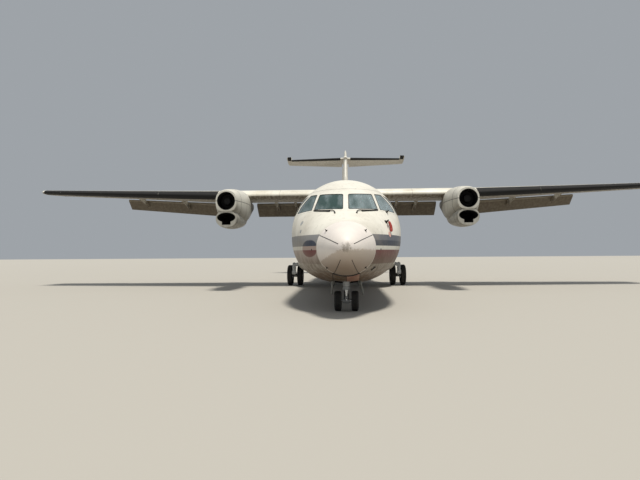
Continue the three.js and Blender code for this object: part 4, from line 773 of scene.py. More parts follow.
# %% Sections of the fuselage
def section_rings(table, stations, sides, upper=2.0, lower=2.0, x=0.0, wall=0.0):
    """Rings of two half superellipses: x goes as the cosine and height as the sine of an
    angle, each raised to two over the squareness."""
    stations = np.asarray(stations, float)
    size = [curve(table, column, stations) for column in range(table.shape[1])]
    half_width, top, bottom = size[1:4]
    widest = size[4] if len(size) > 4 else (top + bottom) / 2
    low_power = 2 / (size[5] if len(size) > 5 else np.full(len(stations), lower))
    angle = angles_round(sides)
    c, s = np.cos(angle)[None], np.sin(angle)[None]
    power = np.where(s >= -1e-9, 2 / upper, low_power[:, None])
    half = np.where(s >= -1e-9, (top - wall - widest)[:, None], (widest - bottom - wall)[:, None])
    across = np.maximum(half_width - wall, 0.01)[:, None] * np.sign(c) * np.abs(c) ** power
    height = widest[:, None] + np.maximum(half, 0.01) * np.sign(s) * np.abs(s) ** power
    along = np.broadcast_to(stations[:, None], across.shape)
    return np.stack([x + across, along, height], -1)


def skin_x(stations, heights):
    """The skin's half width at stations and heights, from the same sections."""
    half_width, top, bottom, widest, lower = (curve(FUSELAGE_TABLE, c, stations) for c in range(1, 6))
    heights = np.asarray(heights, float)
    power = np.where(heights > widest, 2.0, lower)
    half = np.where(heights > widest, top - widest, widest - bottom)
    share = np.clip(np.abs(heights - widest) / half, 0, 1)
    return half_width * (1 - share**power) ** (1 / power)


SIDES = 160
GAP = 0.3


def fuselage(name, stations, wall=0.0):
    """A stretch of the fuselage, or its inside at a depth of wall."""
    return loft(name, section_rings(FUSELAGE_TABLE, stations, SIDES, wall=wall))


print("skin to port at eye height", skin_x([2700], [2500])[0].round(), "mm out")


# %% Outlines of windows and doors
def corners(outline, reach, steps=6):
    """An outline with each corner replaced by a curve that starts and ends reach away."""
    outline = np.asarray(outline, float)
    before = np.roll(outline, 1, 0) - outline
    after = np.roll(outline, -1, 0) - outline
    start = outline + before * (reach / np.linalg.norm(before, axis=1))[:, None]
    end = outline + after * (reach / np.linalg.norm(after, axis=1))[:, None]
    t = np.linspace(0, 1, steps + 1)[None, :, None]
    curves = (1 - t) ** 2 * start[:, None] + 2 * t * (1 - t) * outline[:, None] + t**2 * end[:, None]
    return curves.reshape(-1, 2)


def inset(outline, distance):
    """An outline moved inwards side by side; a negative distance grows it."""
    outline = np.asarray(outline, float)
    beyond = np.roll(outline, -1, 0)
    after = beyond - outline
    area = np.sum(outline[:, 0] * beyond[:, 1] - outline[:, 1] * beyond[:, 0])
    after /= np.linalg.norm(after, axis=1)[:, None]
    normal = np.sign(area) * np.stack([-after[:, 1], after[:, 0]], -1)
    inward = normal + np.roll(normal, 1, 0)
    inward /= np.linalg.norm(inward, axis=1)[:, None]
    share = np.sum(inward * normal, axis=1)
    return outline + inward * (distance / share)[:, None]


print("a square inset by 1", inset(rectangle(0, 10, 0, 10), 1).tolist())

# %% [markdown]
# Windows and doors are outlines pushed through the skin. The flight deck is a real hollow, so
# the glass shows a dark panel and seats behind it instead of a painted patch.

# %% Shapes of the flight deck
WINDSCREEN = [(56, 2267), (742, 2289), (632, 2727), (56, 2703)]
POST = Sizes(foot=42, head=66, reach=100)
SIDE_WINDOWS = {
    "side_window_front": [(1980, 2285), (2660, 2727), (3085, 2750), (2862, 2252)],
    "side_window_rear": [(2975, 2255), (3170, 2745), (3400, 2700), (3440, 2235)],
}
PANE_CORNER = 45
PANE_OUTER, PANE_INNER = 8, 28
COCKPIT_FRONT, COCKPIT_REAR, COCKPIT_FLOOR, COCKPIT_WALL = 1250, 4200, 1250, 60
NOSE_BAY = Sizes(half_width=290, front=985, doors_rear=1560, rear=2230, floor=300, roof=1150,
                 door_plate=22, door_side=3, door_end=4, middle=1.5)
NOSE_JACK = Sizes(x=0, station=2450, radius=40, face=560, root=660)
RADOME_END, NOSE_END = 950, 4000
SIDE, FAR = 1600, 3400
GLASS_FRONT, GLASS_REAR = 1400, 3000
GLASS_INNER, GLASS_OUTER = 450, 1700


def windscreen_prism(shrink):
    """The windscreen's outline seen from ahead, pushed aft through the skin."""
    outline = inset(corners(WINDSCREEN, PANE_CORNER), shrink)
    return prism("cutter", outline, "y", GLASS_FRONT, GLASS_REAR)


def inside_post(grow):
    """Everything inboard of the post beside the windscreen, seen from ahead."""
    (foot_x, foot), (head_x, head) = WINDSCREEN[1], WINDSCREEN[2]
    reach = POST.reach
    lean = reach * (head_x - foot_x) / (head - foot)
    outline = [(0, foot - reach), (foot_x - lean + POST.foot + grow, foot - reach),
               (head_x + lean + POST.head + grow, head + reach), (0, head + reach)]
    return prism("inside_post", outline, "y", GLASS_FRONT, GLASS_REAR)


def side_prism(outline, shrink):
    """A side window's outline pushed inwards from port, and cut off at the post."""
    side = prism("cutter", corners(inset(outline, shrink), PANE_CORNER), "x", GLASS_INNER, GLASS_OUTER)
    return cut(side, inside_post(shrink))


def nose_shell(outer, inner):
    """The nose's skin between two depths."""
    stations = spread(RADOME_END + GAP / 2, NOSE_END - GAP / 2, 48)
    return cut(fuselage("shell", stations, outer), fuselage("core", stations, inner))


def jack_pad(pad):
    """A round pad under the aircraft, where a jack lifts it."""
    return rod("pad", (pad.x, pad.station, pad.face), (pad.x, pad.station, pad.root), pad.radius)


def window_cutters(shrink):
    """Every flight deck window's cutter, port and starboard."""
    port = [windscreen_prism(shrink), *(side_prism(outline, shrink) for outline in SIDE_WINDOWS.values())]
    return [*port, *(mirror_copy(piece, "cutter") for piece in port)]


def two_finishes(piece, inside, depth=30):
    """Gives the faces that lie deeper than the skin a second finish."""
    mesh = piece.data
    mesh.materials.append(inside)
    centres = np.empty(len(mesh.polygons) * 3)
    mesh.polygons.foreach_get("center", centres)
    centres = centres.reshape(-1, 3) * 1000
    stations, heights = centres[:, 1] + LENGTH / 2, centres[:, 2]
    deep = np.abs(centres[:, 0]) < skin_x(stations, heights) - depth
    top, bottom = curve(FUSELAGE_TABLE, 2, stations), curve(FUSELAGE_TABLE, 3, stations)
    deep &= (heights < top - depth) & (heights > bottom + depth)
    mesh.polygons.foreach_set("material_index", deep.astype(np.int32))


print("panes a side", 1 + len(SIDE_WINDOWS))

# %% Radome and nose skins
radome = fuselage("radome_skin", spread(0, RADOME_END - GAP / 2, 40))
dress(radome, radome_enamel, replaces=["radome"])

nose = fuselage("nose_skin", spread(RADOME_END + GAP / 2, NOSE_END - GAP / 2, 48))
room = common(fuselage("room", spread(COCKPIT_FRONT, COCKPIT_REAR, 30), COCKPIT_WALL),
              box("floor_cut", -SIDE, SIDE, COCKPIT_FRONT, COCKPIT_REAR, COCKPIT_FLOOR, FAR))
bay = box("bay", -NOSE_BAY.half_width, NOSE_BAY.half_width, NOSE_BAY.front, NOSE_BAY.rear,
          NOSE_BAY.floor, NOSE_BAY.roof)
cut(nose, room, bay, *window_cutters(0))
join(nose, jack_pad(NOSE_JACK))
dress(nose, fuselage_enamel, replaces=["nose_section"])
two_finishes(nose, cockpit_plastic)

shut_door = common(nose_shell(0, NOSE_BAY.door_plate),
                   box("door_box", NOSE_BAY.middle, NOSE_BAY.half_width - NOSE_BAY.door_side,
                       NOSE_BAY.front + NOSE_BAY.door_end, NOSE_BAY.doors_rear,
                       NOSE_BAY.floor, NOSE_BAY.roof))
shut_door.name = "forward_gear_door_left"
pair(shut_door, fuselage_enamel, replaces=["nose_gear_door_shut_left"])
shut_door.data.materials[0] = rusty_maroon
tell()

# %% [markdown]
# Flight deck panes are laminated glass, set in a rubber seal and clamped by a flat metal
# frame with many small screws. The panes follow the skin, so they are slices of the skin's
# own shell, and the frames and seals are narrower slices round them.

# %% Panes, seals and frames
SEAL_WIDTH, SEAL_OUTER = 14, 2
FRAME_BAND, FRAME_PROUD, FRAME_DEEP = 34, 2.5, 3
SEAL_PLAY, FRAME_PLAY = 0.4, 0.2


def band(opening, outer, inner, depth_out, depth_in, name):
    """The part of the nose's shell between two offsets of a window's opening."""
    piece = common(nose_shell(depth_out, depth_in), cut(opening(outer), opening(inner)))
    piece.name = name
    return piece


def window_set(name, opening):
    """One pane with its seal and frame, and the same to starboard."""
    pane = common(nose_shell(PANE_OUTER, PANE_INNER), opening(SEAL_PLAY))
    pane.name = name + "_pane_left"
    pair(pane, glass, replaces=[name + "_left"])
    seal = band(opening, SEAL_PLAY, SEAL_WIDTH, SEAL_OUTER, PANE_OUTER + 2, name + "_seal_left")
    pair(seal, gasket_rubber)
    rim = band(opening, -FRAME_BAND, FRAME_PLAY, -FRAME_PROUD, FRAME_DEEP, name + "_frame_left")
    pair(rim, part_enamel)


window_set("windscreen", windscreen_prism)
for window, outline in SIDE_WINDOWS.items():
    window_set(window, lambda shrink, outline=outline: side_prism(outline, shrink))
tell()

# %% [markdown]
# Small fittings stand on the nose. Metal strips on the radome lead lightning to the frame,
# wipers park along the windscreen's sill, and probes feel the air. Each is a section carried
# along a line on the skin, so it hugs the surface; the line's own normals turn the section.

# %% Lines on the skin
RING_STEPS = 720
MIDDLE_LINE = np.array([0, 0, 1400])


def skin_line(points, side=1, count=24):
    """Points and outward normals along a line on the fuselage, given as stations and heights
    to port (1) or starboard (-1). The normal is the slope of the half width, at right angles."""
    points = np.asarray(points, float)
    reach = np.append(0, np.cumsum(np.linalg.norm(np.diff(points, axis=0), axis=1)))
    even = np.linspace(0, reach[-1], count)
    station, height = (np.interp(even, reach, points[:, k]) for k in (0, 1))
    x = skin_x(station, height)
    normal = np.stack([np.ones(count), -(skin_x(station + 2, height) - skin_x(station - 2, height)) / 4,
                       -(skin_x(station, height + 2) - skin_x(station, height - 2)) / 4], -1)
    normal /= np.linalg.norm(normal, axis=1)[:, None]
    return np.stack([x, station, height], -1) * [side, 1, 1], normal * [side, 1, 1]


def ridge(name, line, width, proud, root=4.0):
    """A flat strip along a line on the skin: width across it, proud of it, rooted in it."""
    points, normal = line
    across = np.cross(np.gradient(points, axis=0), normal)
    across *= width / 2 / np.linalg.norm(across, axis=1)[:, None]
    out, deep = normal * proud, normal * root
    edges = [points + across * 0.8 + out, points - across * 0.8 + out, points - across - deep,
             points + across - deep]
    return loft(name, np.stack(edges, 1))


def ring_line(stations, angle):
    """Points and normals along the fuselage at one angle round its sections, from port up."""
    rings = section_rings(FUSELAGE_TABLE, stations, RING_STEPS)
    step = int(round(angle * RING_STEPS / FULL_CIRCLE)) % RING_STEPS
    points = rings[:, step]
    round_way = rings[:, (step + 1) % RING_STEPS] - rings[:, step - 1]
    normal = np.cross(round_way, np.gradient(points, axis=0))
    normal /= np.linalg.norm(normal, axis=1)[:, None]
    outward = np.sum(normal * (points - MIDDLE_LINE) * [1, 0, 1], axis=1)
    return points, normal * np.sign(outward)[:, None]


print("a line down the side turns by", skin_line([(2000, 2200), (2000, 1000)])[1][[0, -1]].round(2).tolist())

# %% [markdown]
# The radome is held by a ring of screws under filler, and at the chin, where the joint gapes,
# a black rubber strip stands proud as the slot's painted shade. Its lightning strips are thin metal bars.
# Seals close the forward nose doors.

# %% Radome strips and its seal
STRIP_WIDTH, STRIP_PROUD, STRIP_END = 13, 4, 935
CHIN_SHADE_STRIP = Sizes(start=np.radians(-64), end=np.radians(-116), width=34, proud=19, root=12)
for label, angle, start in (("upper", np.radians(27), 60), ("lower", np.radians(-66), 160)):
    line = ring_line(spread(start, STRIP_END, 40), angle)
    pair(ridge(f"lightning_strip_{label}_left", line, STRIP_WIDTH, STRIP_PROUD), probe_steel)

chin_angles = np.linspace(CHIN_SHADE_STRIP.start, CHIN_SHADE_STRIP.end, 40)
chin_rings = section_rings(FUSELAGE_TABLE, [RADOME_END], RING_STEPS)[0]
chin_points = chin_rings[np.round(chin_angles * RING_STEPS / FULL_CIRCLE).astype(int) % RING_STEPS]
chin_normals = chin_points - [0, RADOME_END, MIDDLE_LINE[2]]
chin_normals /= np.linalg.norm(chin_normals, axis=1)[:, None]
# A black strip proud of the chin stands for the joint's gap in painted shade.
dress(ridge("radome_chin_shade_strip", (chin_points, chin_normals), CHIN_SHADE_STRIP.width, CHIN_SHADE_STRIP.proud,
            CHIN_SHADE_STRIP.root), gasket_rubber)

SEAL_TUCK, RING_PROUD, RING_DEEP = 7, 1.2, 8
seal_stations = RADOME_END + SEAL_TUCK * np.linspace(-1, 1, 5)
core_stations = [RADOME_END - SEAL_TUCK - 2, RADOME_END + SEAL_TUCK + 2]
seal_ring = cut(fuselage("radome_seal", seal_stations, -RING_PROUD),
                fuselage("core", core_stations, RING_DEEP))
dress(seal_ring, seam_filler)
tell()

# %% Seals of the forward nose doors
DOOR_SEAL = Sizes(width=14, proud=2, side_width=12, side_proud=4, inboard=2, front=6, rear=4)
door_line = np.linspace(NOSE_BAY.front + DOOR_SEAL.front, NOSE_BAY.doors_rear - DOOR_SEAL.rear, 20)
split = ring_line(door_line, np.radians(-90))
dress(ridge("gear_door_split_seal", split, DOOR_SEAL.width, DOOR_SEAL.proud), gasket_rubber)
half_width, _, bottom, widest, power = (curve(FUSELAGE_TABLE, c, door_line) for c in range(1, 6))
door_edge = np.full(20, NOSE_BAY.half_width - DOOR_SEAL.inboard)
door_side = widest - (widest - bottom) * (1 - (door_edge / half_width) ** power) ** (1 / power)
side_line = (np.stack([door_edge, door_line, door_side], -1), np.tile([0.2, 0, -0.98], (20, 1)))
pair(ridge("gear_door_side_seal_left", side_line, DOOR_SEAL.side_width, DOOR_SEAL.side_proud),
     gasket_rubber)
tell()

# %% [markdown]
# A wiper is an arm on a pivot with a rubber blade that lies on the glass. The arm is a pipe
# along a line on the skin, lifted by a table of heights; the blade is a ridge.

# %% Wipers
WIPER = [(1457, 2169), (1530, 2205), (1585, 2226)]
BLADE = [(1600, 2216), (1680, 2230), (1773, 2242), (1880, 2256), (1973, 2270)]
ARM_THICK, PIVOT_ROOT, PIVOT_TOP, PIVOT_FOOT, PIVOT_HEAD = 10, 10, 34, 20, 15
arm_points, arm_normals = skin_line(WIPER + BLADE[2:])
lift = np.interp(np.arange(24), (0, 6, 23), (4, 26, 16))[:, None]
wiper_arm = pipe("wiper_arm_left", arm_points + arm_normals * lift, ARM_THICK)
(pivot, _), (pivot_normal, _) = skin_line([WIPER[0], WIPER[1]], count=2)
wiper_arm = join(wiper_arm, rod("pivot", pivot - pivot_normal * PIVOT_ROOT, pivot + pivot_normal * PIVOT_TOP,
                                PIVOT_FOOT, PIVOT_HEAD))
pair(wiper_arm, black_paint)
wiper_blade = ridge("wiper_blade_left", skin_line(BLADE), 34, 22, 1)
pair(wiper_blade, gasket_rubber)
tell()

# %% [markdown]
# Probes feel the air's pressure and direction, so each stands clear of the skin or lies flush
# as a drilled plate. A probe is a tapered mast, a tube that points forward, and a foot.


# %% Probes and plates
def at_skin(spot, side):
    """The point and the outward normal at one station and height of the skin."""
    (centre, _), (normal, _) = skin_line([spot, (spot[0] + 1, spot[1])], side, 2)
    return centre, normal


def skin_stud(name, spot, side, radius, proud):
    """A round plate or stud on the skin at a station and height."""
    centre, normal = at_skin(spot, side)
    profile = [(0, radius), (6 + proud * 0.6, radius), (6 + proud, radius * 0.82)]
    return turned(name, centre - normal * 6, centre + normal * proud, profile, 24)


def mast_probe(name, spot, side, height, length, radius):
    """A probe on a short mast: a tapered mast out of the skin and a tube pointing forward."""
    centre, normal = at_skin(spot, side)
    top = centre + normal * height
    nose_end = top + [0, -length, 0]
    mast = rod(name, centre - normal * 8, top, radius * 1.9, radius * 1.1, 16)
    profile = [(0, radius * 0.5), (length * 0.15, radius), (length * 1.1, radius * 0.9),
               (length * 1.25, radius * 0.45)]
    tube = turned("tube", top + [0, length * 0.25, 0], nose_end, profile, 16)
    return join(mast, tube, skin_stud("plate", spot, side, radius * 3.4, 3))


for side, label in BOTH_SIDES:
    for kind, spot, reach, length, radius in (("upper_probe", (760, 1750), 34, 60, 9),
                                              ("lower_stud", (862, 993), 20, 24, 9)):
        dress(mast_probe(f"{kind}_{label}", spot, side, reach, length, radius), probe_steel)
    dress(skin_stud(f"static_port_{label}", (1175, 1368), side, 21, 1.5), probe_steel)
dress(mast_probe("pitot_probe_left", (1800, 1985), 1, 62, 120, 15), probe_steel)
dress(mast_probe("airflow_vane_left", (2230, 2240), 1, 55, 70, 12), probe_steel)
dress(skin_stud("probe_blank_right", (1830, 1790), -1, 44, 2), gear_enamel)
dress(skin_stud("sensor_plate_right", (1990, 1985), -1, 62, 2), gear_enamel)
dress(skin_stud("sensor_plate_left", (1650, 1700), 1, 62, 2), faded_pink)
tell()

# %% Cover sleeve and broken mount
COVER_PLACES, COVER_LIFTS = (0, 12, 23), (62, 52, 30)
COVER_RADII = {0: 16, 1: 26, 4: 30, 20: 33, 22: 30, 23: 18}
cover_line, cover_normals = skin_line([(1800, 1965), (1775, 1890), (1740, 1800), (1715, 1760)])
cover_lift = np.interp(np.arange(24), COVER_PLACES, COVER_LIFTS)[:, None]
cover_size = np.interp(np.arange(24), list(COVER_RADII), list(COVER_RADII.values()))
cover = pipe("probe_cover_sleeve", cover_line + cover_normals * cover_lift, cover_size[:, None, None], 20)
dress(cover, red_vinyl)
BROKEN_AT, BROKEN_REACH = (1199, 969), 12
hook = []
for end in ((1160, 1010), (1240, 1000), (1200, 925), (1165, 935)):
    points, normals = skin_line([BROKEN_AT, end], count=2)
    hook.append(points + normals * BROKEN_REACH)
broken = join(*(rod("broken_antenna_mount", *ends, 9, 6, 12) for ends in hook))
dress(broken, probe_steel)
tell()

# %% [markdown]
# Two doors open in the port side: a cargo door that swings up behind the flight deck, and an
# entrance whose door folds down as a stair. Each leaf is the skin's own shell inside the
# door's outline, so it closes flush, and hangs on knuckles outside the skin.

# %% Door outlines
DOOR_WALL, ROOM_WALL = 90, 100
CARGO_HOLD = Sizes(front=4350, rear=6000, floor=1170)
VESTIBULE = Sizes(front=12960, rear=16700, floor=1370)
CARGO_DOOR = Sizes(front=4450, rear=5720, sill=1170, head=2700, gap=6, corner=90, x=1380, taper=0)
ENTRY_DOOR = Sizes(front=15200, rear=15950, sill=1370, head=2970, gap=6, corner=110, x=1180, taper=14.6)
SERVICE_DOOR = Sizes(front=15230, rear=15840, sill=1370, head=2590, gap=GAP, corner=90, x=1200, taper=14.6)
DOOR_DEEP, DOOR_FAR = -560, 300
UP = np.array([0.0, 0, 1])


def door_frame(door):
    """A door's directions along its sill and out through the skin, and its middle point."""
    turn = np.radians(door.taper)
    middle = (door.front + door.rear) / 2
    sill = np.array([-np.sin(turn), np.cos(turn), 0])
    outward = np.array([np.cos(turn), np.sin(turn), 0])
    return sill, outward, np.array([door.x, middle, 0.0])


def door_points(door, outline, out):
    """Station and height pairs put into the door's own plane, at a distance outwards."""
    sill, outward, middle = door_frame(door)
    outline = np.asarray(outline, float)
    return middle + outward * out + sill * (outline[:, :1] - middle[1]) + UP * outline[:, 1:]


def door_cutter(door, shrink=0.0):
    """A door's outline pushed through the wall."""
    square = rectangle(door.front, door.rear, door.sill, door.head)
    outline = inset(corners(square, door.corner), shrink)
    return loft("door_cutter", [door_points(door, outline, out) for out in (DOOR_DEEP, DOOR_FAR)])


def door_leaf(door, stations, name):
    """The skin's shell inside the door's outline."""
    shell = cut(fuselage(name, stations), fuselage("core", stations, DOOR_WALL))
    return common(shell, door_cutter(door, door.gap))


print("cargo doorway", CARGO_DOOR.rear - CARGO_DOOR.front, "mm wide")

# %% [markdown]
# A hinge is a row of bosses on one pin. The bosses in the middle belong to the body and are
# drilled, and those at the ends hold the pin and belong to the door.

# %% Door hinges
CARGO_HINGE = Sizes(out=-196, height=2714, body=(-98, 34), leaf=(-34, -64), stations=(4750, 5420))
ENTRY_HINGE = Sizes(out=-42, height=1334, body=(-122, -8), leaf=(-18, 85), stations=(15420, 15730))
KNUCKLE = Sizes(radius=17, pin=8, length=70, gap=6, arm=16, bore=8.6)


def knuckle(centre, direction, anchor, drilled):
    """A hinge boss with its arm, drilled on the body's side."""
    centre, half = np.asarray(centre), direction * KNUCKLE.length / 2
    whole = join(rod("boss", centre - half, centre + half, KNUCKLE.radius, sides=24),
                 bar("arm", centre, anchor, direction, KNUCKLE.length, KNUCKLE.arm))
    if drilled:
        cut(whole, rod("bore", centre - 2 * half, centre + 2 * half, KNUCKLE.bore, sides=24))
    return whole


def hang_door(body, leaf, door, hinge):
    """Joins the hinge's bosses to the body and the door, with the pin on the door."""
    sill, outward, _ = door_frame(door)
    step = KNUCKLE.length + KNUCKLE.gap
    for station in hinge.stations:
        centre = door_points(door, [(station, hinge.height)], hinge.out)[0]
        anchor = outward * hinge.body[0] + UP * hinge.body[1]
        join(body, knuckle(centre, sill, centre + anchor, True))
        ends = [centre - sill * step, centre + sill * step]
        arm = outward * hinge.leaf[0] + UP * hinge.leaf[1]
        join(leaf, *(knuckle(end, sill, end + arm, False) for end in ends),
             rod("pin", *ends, KNUCKLE.pin, sides=24))


print("knuckles", 3 * len(CARGO_HINGE.stations + ENTRY_HINGE.stations))

# %% Forward fuselage and its door
FORWARD = (NOSE_END + GAP / 2, 8300 - GAP / 2)
forward_stations = np.linspace(*FORWARD, 25)
forward = fuselage("forward_skin", forward_stations)
hold = common(fuselage("hold", forward_stations, ROOM_WALL),
              box("hold_box", -SIDE, SIDE, CARGO_HOLD.front, CARGO_HOLD.rear, CARGO_HOLD.floor, FAR))
cut(forward, hold, door_cutter(CARGO_DOOR))
cargo_leaf = door_leaf(CARGO_DOOR, forward_stations, "cargo_door_leaf")
hang_door(forward, cargo_leaf, CARGO_DOOR, CARGO_HINGE)
print("forward skin", len(forward.data.polygons))

# %% [markdown]
# The entrance door is also the stair. Its treads are plates on the inside, level when the
# door has swung down, so each is turned back by the door's whole swing.


# %% Rear fuselage with entrance and service doors
def rear_room():
    """The hollow behind the last cabin row, with a flat floor."""
    rings = np.linspace(VESTIBULE.front - 50, VESTIBULE.rear + 50, 33)
    return common(fuselage("room", rings, ROOM_WALL),
                  box("room_box", -SIDE, SIDE, VESTIBULE.front, VESTIBULE.rear, VESTIBULE.floor, FAR))


ENTRY_SWING = np.radians(130)
TREAD = Sizes(count=5, first=0.16, step=0.17, depth=190, plate=28, width=540, root=60)
REAR = (12800 + GAP / 2, 16150 - GAP / 2)
rear_stations = np.linspace(*REAR, 25)
rear = fuselage("rear_skin", rear_stations)
service_cut = door_cutter(SERVICE_DOOR)
cut(rear, rear_room(), door_cutter(ENTRY_DOOR), mirror_copy(service_cut, "service_cut"))
bpy.data.objects.remove(service_cut)
entry_leaf = door_leaf(ENTRY_DOOR, rear_stations, "passenger_door_leaf")
sill, outward, middle = door_frame(ENTRY_DOOR)
level = outward * np.cos(ENTRY_SWING) + UP * np.sin(ENTRY_SWING)
for k in range(TREAD.count):
    share = TREAD.first + TREAD.step * k
    height = ENTRY_DOOR.sill + share * (ENTRY_DOOR.head - ENTRY_DOOR.sill)
    wall = np.array([skin_x([middle[1]], [height])[0] - TREAD.root, middle[1], height])
    join(entry_leaf, bar("tread", wall, wall + level * TREAD.depth, sill, TREAD.width, TREAD.plate))
hang_door(rear, entry_leaf, ENTRY_DOOR, ENTRY_HINGE)
tidy_normals(entry_leaf)
service_leaf = mirror_copy(door_leaf(SERVICE_DOOR, rear_stations, "service_leaf"), "service_door_leaf")
bpy.data.objects.remove(bpy.data.objects["service_leaf"])
print("rear skin", len(rear.data.polygons), "treads", TREAD.count)

# %% [markdown]
# Cabin windows are small panes of acrylic in a row above the floor line. Each sits in a
# shallow pocket of the skin with a plain metal rim, and a pale blind is down behind some.

# %% Cabin windows
CABIN_WINDOW = Sizes(half_width=118, half_height=165, corner=90, height=2250, pocket=14, pitch=790,
                     inside=1000)
FORWARD_WINDOWS = [6420 + CABIN_WINDOW.pitch * k for k in range(3)]
CENTRE_WINDOWS = [8790 + CABIN_WINDOW.pitch * k for k in range(5)]
REAR_WINDOWS = [13130 + CABIN_WINDOW.pitch * k for k in range(2)]


def window_prisms(stations, grow, name):
    """One object with a window outline pushed through the skin at each station, both sides."""
    w, h = CABIN_WINDOW.half_width + grow, CABIN_WINDOW.half_height + grow
    pieces = []
    for station in stations:
        square = rectangle(station - w, station + w, CABIN_WINDOW.height - h, CABIN_WINDOW.height + h)
        outline = corners(square, CABIN_WINDOW.corner)
        pieces += [prism("window", outline, "x", side * CABIN_WINDOW.inside, side * SIDE)
                   for side in (-1, 1)]
    return merged(name, pieces)


def window_band(stations, span, depth_out, depth_in, grow_out, grow_in, name):
    """Rings or panes of the skin's shell at the cabin windows."""
    rings = np.linspace(*span, 9)
    shell = cut(fuselage("shell", rings, depth_out), fuselage("core", rings, depth_in))
    outline = window_prisms(stations, grow_out, "outline")
    if grow_in is not None:
        cut(outline, window_prisms(stations, grow_in, "inner"))
    piece = common(shell, outline)
    piece.name = name
    return piece


def glaze(skin, stations, span, label):
    """Cuts the pockets and fills them with panes and rims."""
    pockets = cut(window_prisms(stations, 0, "pockets"),
                  fuselage("core", np.linspace(*span, 9), CABIN_WINDOW.pocket))
    cut(skin, pockets)
    pane = window_band(stations, span, 7, CABIN_WINDOW.pocket, -2, None, f"cabin_panes_{label}")
    dress(pane, cabin_pane)
    rim = window_band(stations, span, -2.5, 8, 12, -4, f"cabin_window_rims_{label}")
    dress(rim, bare_alloy, slot="white_paint")


print("cabin windows a side", len(FORWARD_WINDOWS + CENTRE_WINDOWS + REAR_WINDOWS))

# %% Acrylic of the cabin windows
# Stretched acrylic, opaque: dark with painted shade of the cabin behind it, and with a pale blind in some.
BLIND_SPACING, BLINDS_OPEN = 787.4, 0.62
cabin_pane, tree = new_material("scratched_acrylic_pane", "flight_deck_glass")
where = add(tree, "TexCoord").outputs["Object"]
axes = add(tree, "SeparateXYZ", Vector=where)
blinds = add(tree, "TexVoronoi", voronoi_dimensions="1D", feature="F1", W=axes.outputs["Y"],
             Scale=marks(BLIND_SPACING))
drawn = add(tree, "Math", operation="GREATER_THAN", i0=blinds.outputs["Color"], i1=BLINDS_OPEN)
# Open windows show painted shade of the dark cabin; drawn ones show the blind.
cabin_shade_and_blind = add(tree, "Mix", data_type="RGBA", i0=drawn, i6=srgb("#15191B"), i7=srgb("#8F8A7C"))
shader = add(tree, "BsdfPrincipled", Base_Color=cabin_shade_and_blind, Roughness=0.12, IOR=1.49)
add(tree, "OutputMaterial", Surface=shader)
print("blinds every", BLIND_SPACING, "mm")

# %% Glazing and the rest of the fuselage
CENTRE = (8300 + GAP / 2, 12800 - GAP / 2)
centre = fuselage("centre_skin", np.linspace(*CENTRE, 9))
glaze(forward, FORWARD_WINDOWS, FORWARD, "forward")
glaze(centre, CENTRE_WINDOWS, CENTRE, "centre")
glaze(rear, REAR_WINDOWS, REAR, "rear")
for skin, node in ((forward, "forward_fuselage"), (centre, "centre_fuselage"), (rear, "rear_fuselage")):
    dress(skin, fuselage_enamel, replaces=[node])
    two_finishes(skin, part_enamel)
baggage = cut(fuselage("baggage_skin", np.linspace(16150 + GAP / 2, 17500 - GAP / 2, 12)), rear_room())
dress(baggage, fuselage_enamel, replaces=["rear_baggage_section"])
two_finishes(baggage, part_enamel)
dress(cargo_leaf, fuselage_enamel, "cargo_door", ["cargo_door"])
dress(entry_leaf, fuselage_enamel, "passenger_door", ["passenger_door"])
dress(service_leaf, fuselage_enamel, replaces=["service_door"])

tail = fuselage("tail_skin", np.linspace(17500 + GAP / 2, 21500 - GAP / 2, 50))
cut(tail, fuselage("tail_room", np.linspace(17400, 20600, 24), 60))
dress(tail, fuselage_enamel, replaces=["tail_section"])
tell()

# %% [markdown]
# The wing is an aerofoil: a round nose, a fat middle and a thin tail. Its thickness follows
# the classic four-digit formula, and a little camber lifts the middle line. The centre
# section is straight and the outer panels taper and rise.

# %% Aerofoils
WING = Sizes(joint=4830, leading=9150, chord=2570, height=3500, thickness=0.18, tip_sweep=680,
             tip_chord=1410, tip_thickness=0.13, dihedral=np.radians(2.5), camber=0.02, spar=0.72,
             shroud=0.84, plate=15)
HALF_SPAN = 12285
CLEAR = 8


def half_thickness(u):
    """The four-digit aerofoil's half thickness at a share u of its chord, per unit thickness."""
    u = np.asarray(u, float)
    return 5 * (0.2969 * np.sqrt(u) - 0.126 * u - 0.3516 * u**2 + 0.2843 * u**3 - 0.1015 * u**4)


CHORD_SHARES = (1 - np.cos(np.linspace(0, np.pi, 33))) / 2


def aerofoil(leading, chord, thickness, camber=0.0, grow=0.0, shares=CHORD_SHARES):
    """Distance aft and rise round an aerofoil, from the tail over the top to the tail."""
    middle = chord * 4 * camber * shares * (1 - shares)
    half = chord * thickness * half_thickness(shares) + grow
    along = leading + shares * chord
    upper = np.stack([along, middle + half], -1)[::-1]
    lower = np.stack([along, middle - half], -1)[1:]
    upper[-1] = (leading - grow, 0)
    return np.concatenate([upper, lower])


def wing_at(x):
    """Leading edge, chord, thickness and height of the wing at a distance from the middle."""
    out = max(0.0, abs(x) - WING.joint)
    share = out / (HALF_SPAN - WING.joint)
    return (WING.leading + WING.tip_sweep * share,
            WING.chord + (WING.tip_chord - WING.chord) * share,
            WING.thickness + (WING.tip_thickness - WING.thickness) * share,
            WING.height + out * np.tan(WING.dihedral))


def wing_point(x, u, side):
    """A point of the wing at a share of the chord; side is 1 on top and -1 below."""
    leading, chord, thickness, height = wing_at(x)
    middle = height + chord * 4 * WING.camber * u * (1 - u)
    return np.array([leading + u * chord, middle + side * chord * thickness * half_thickness(u)])


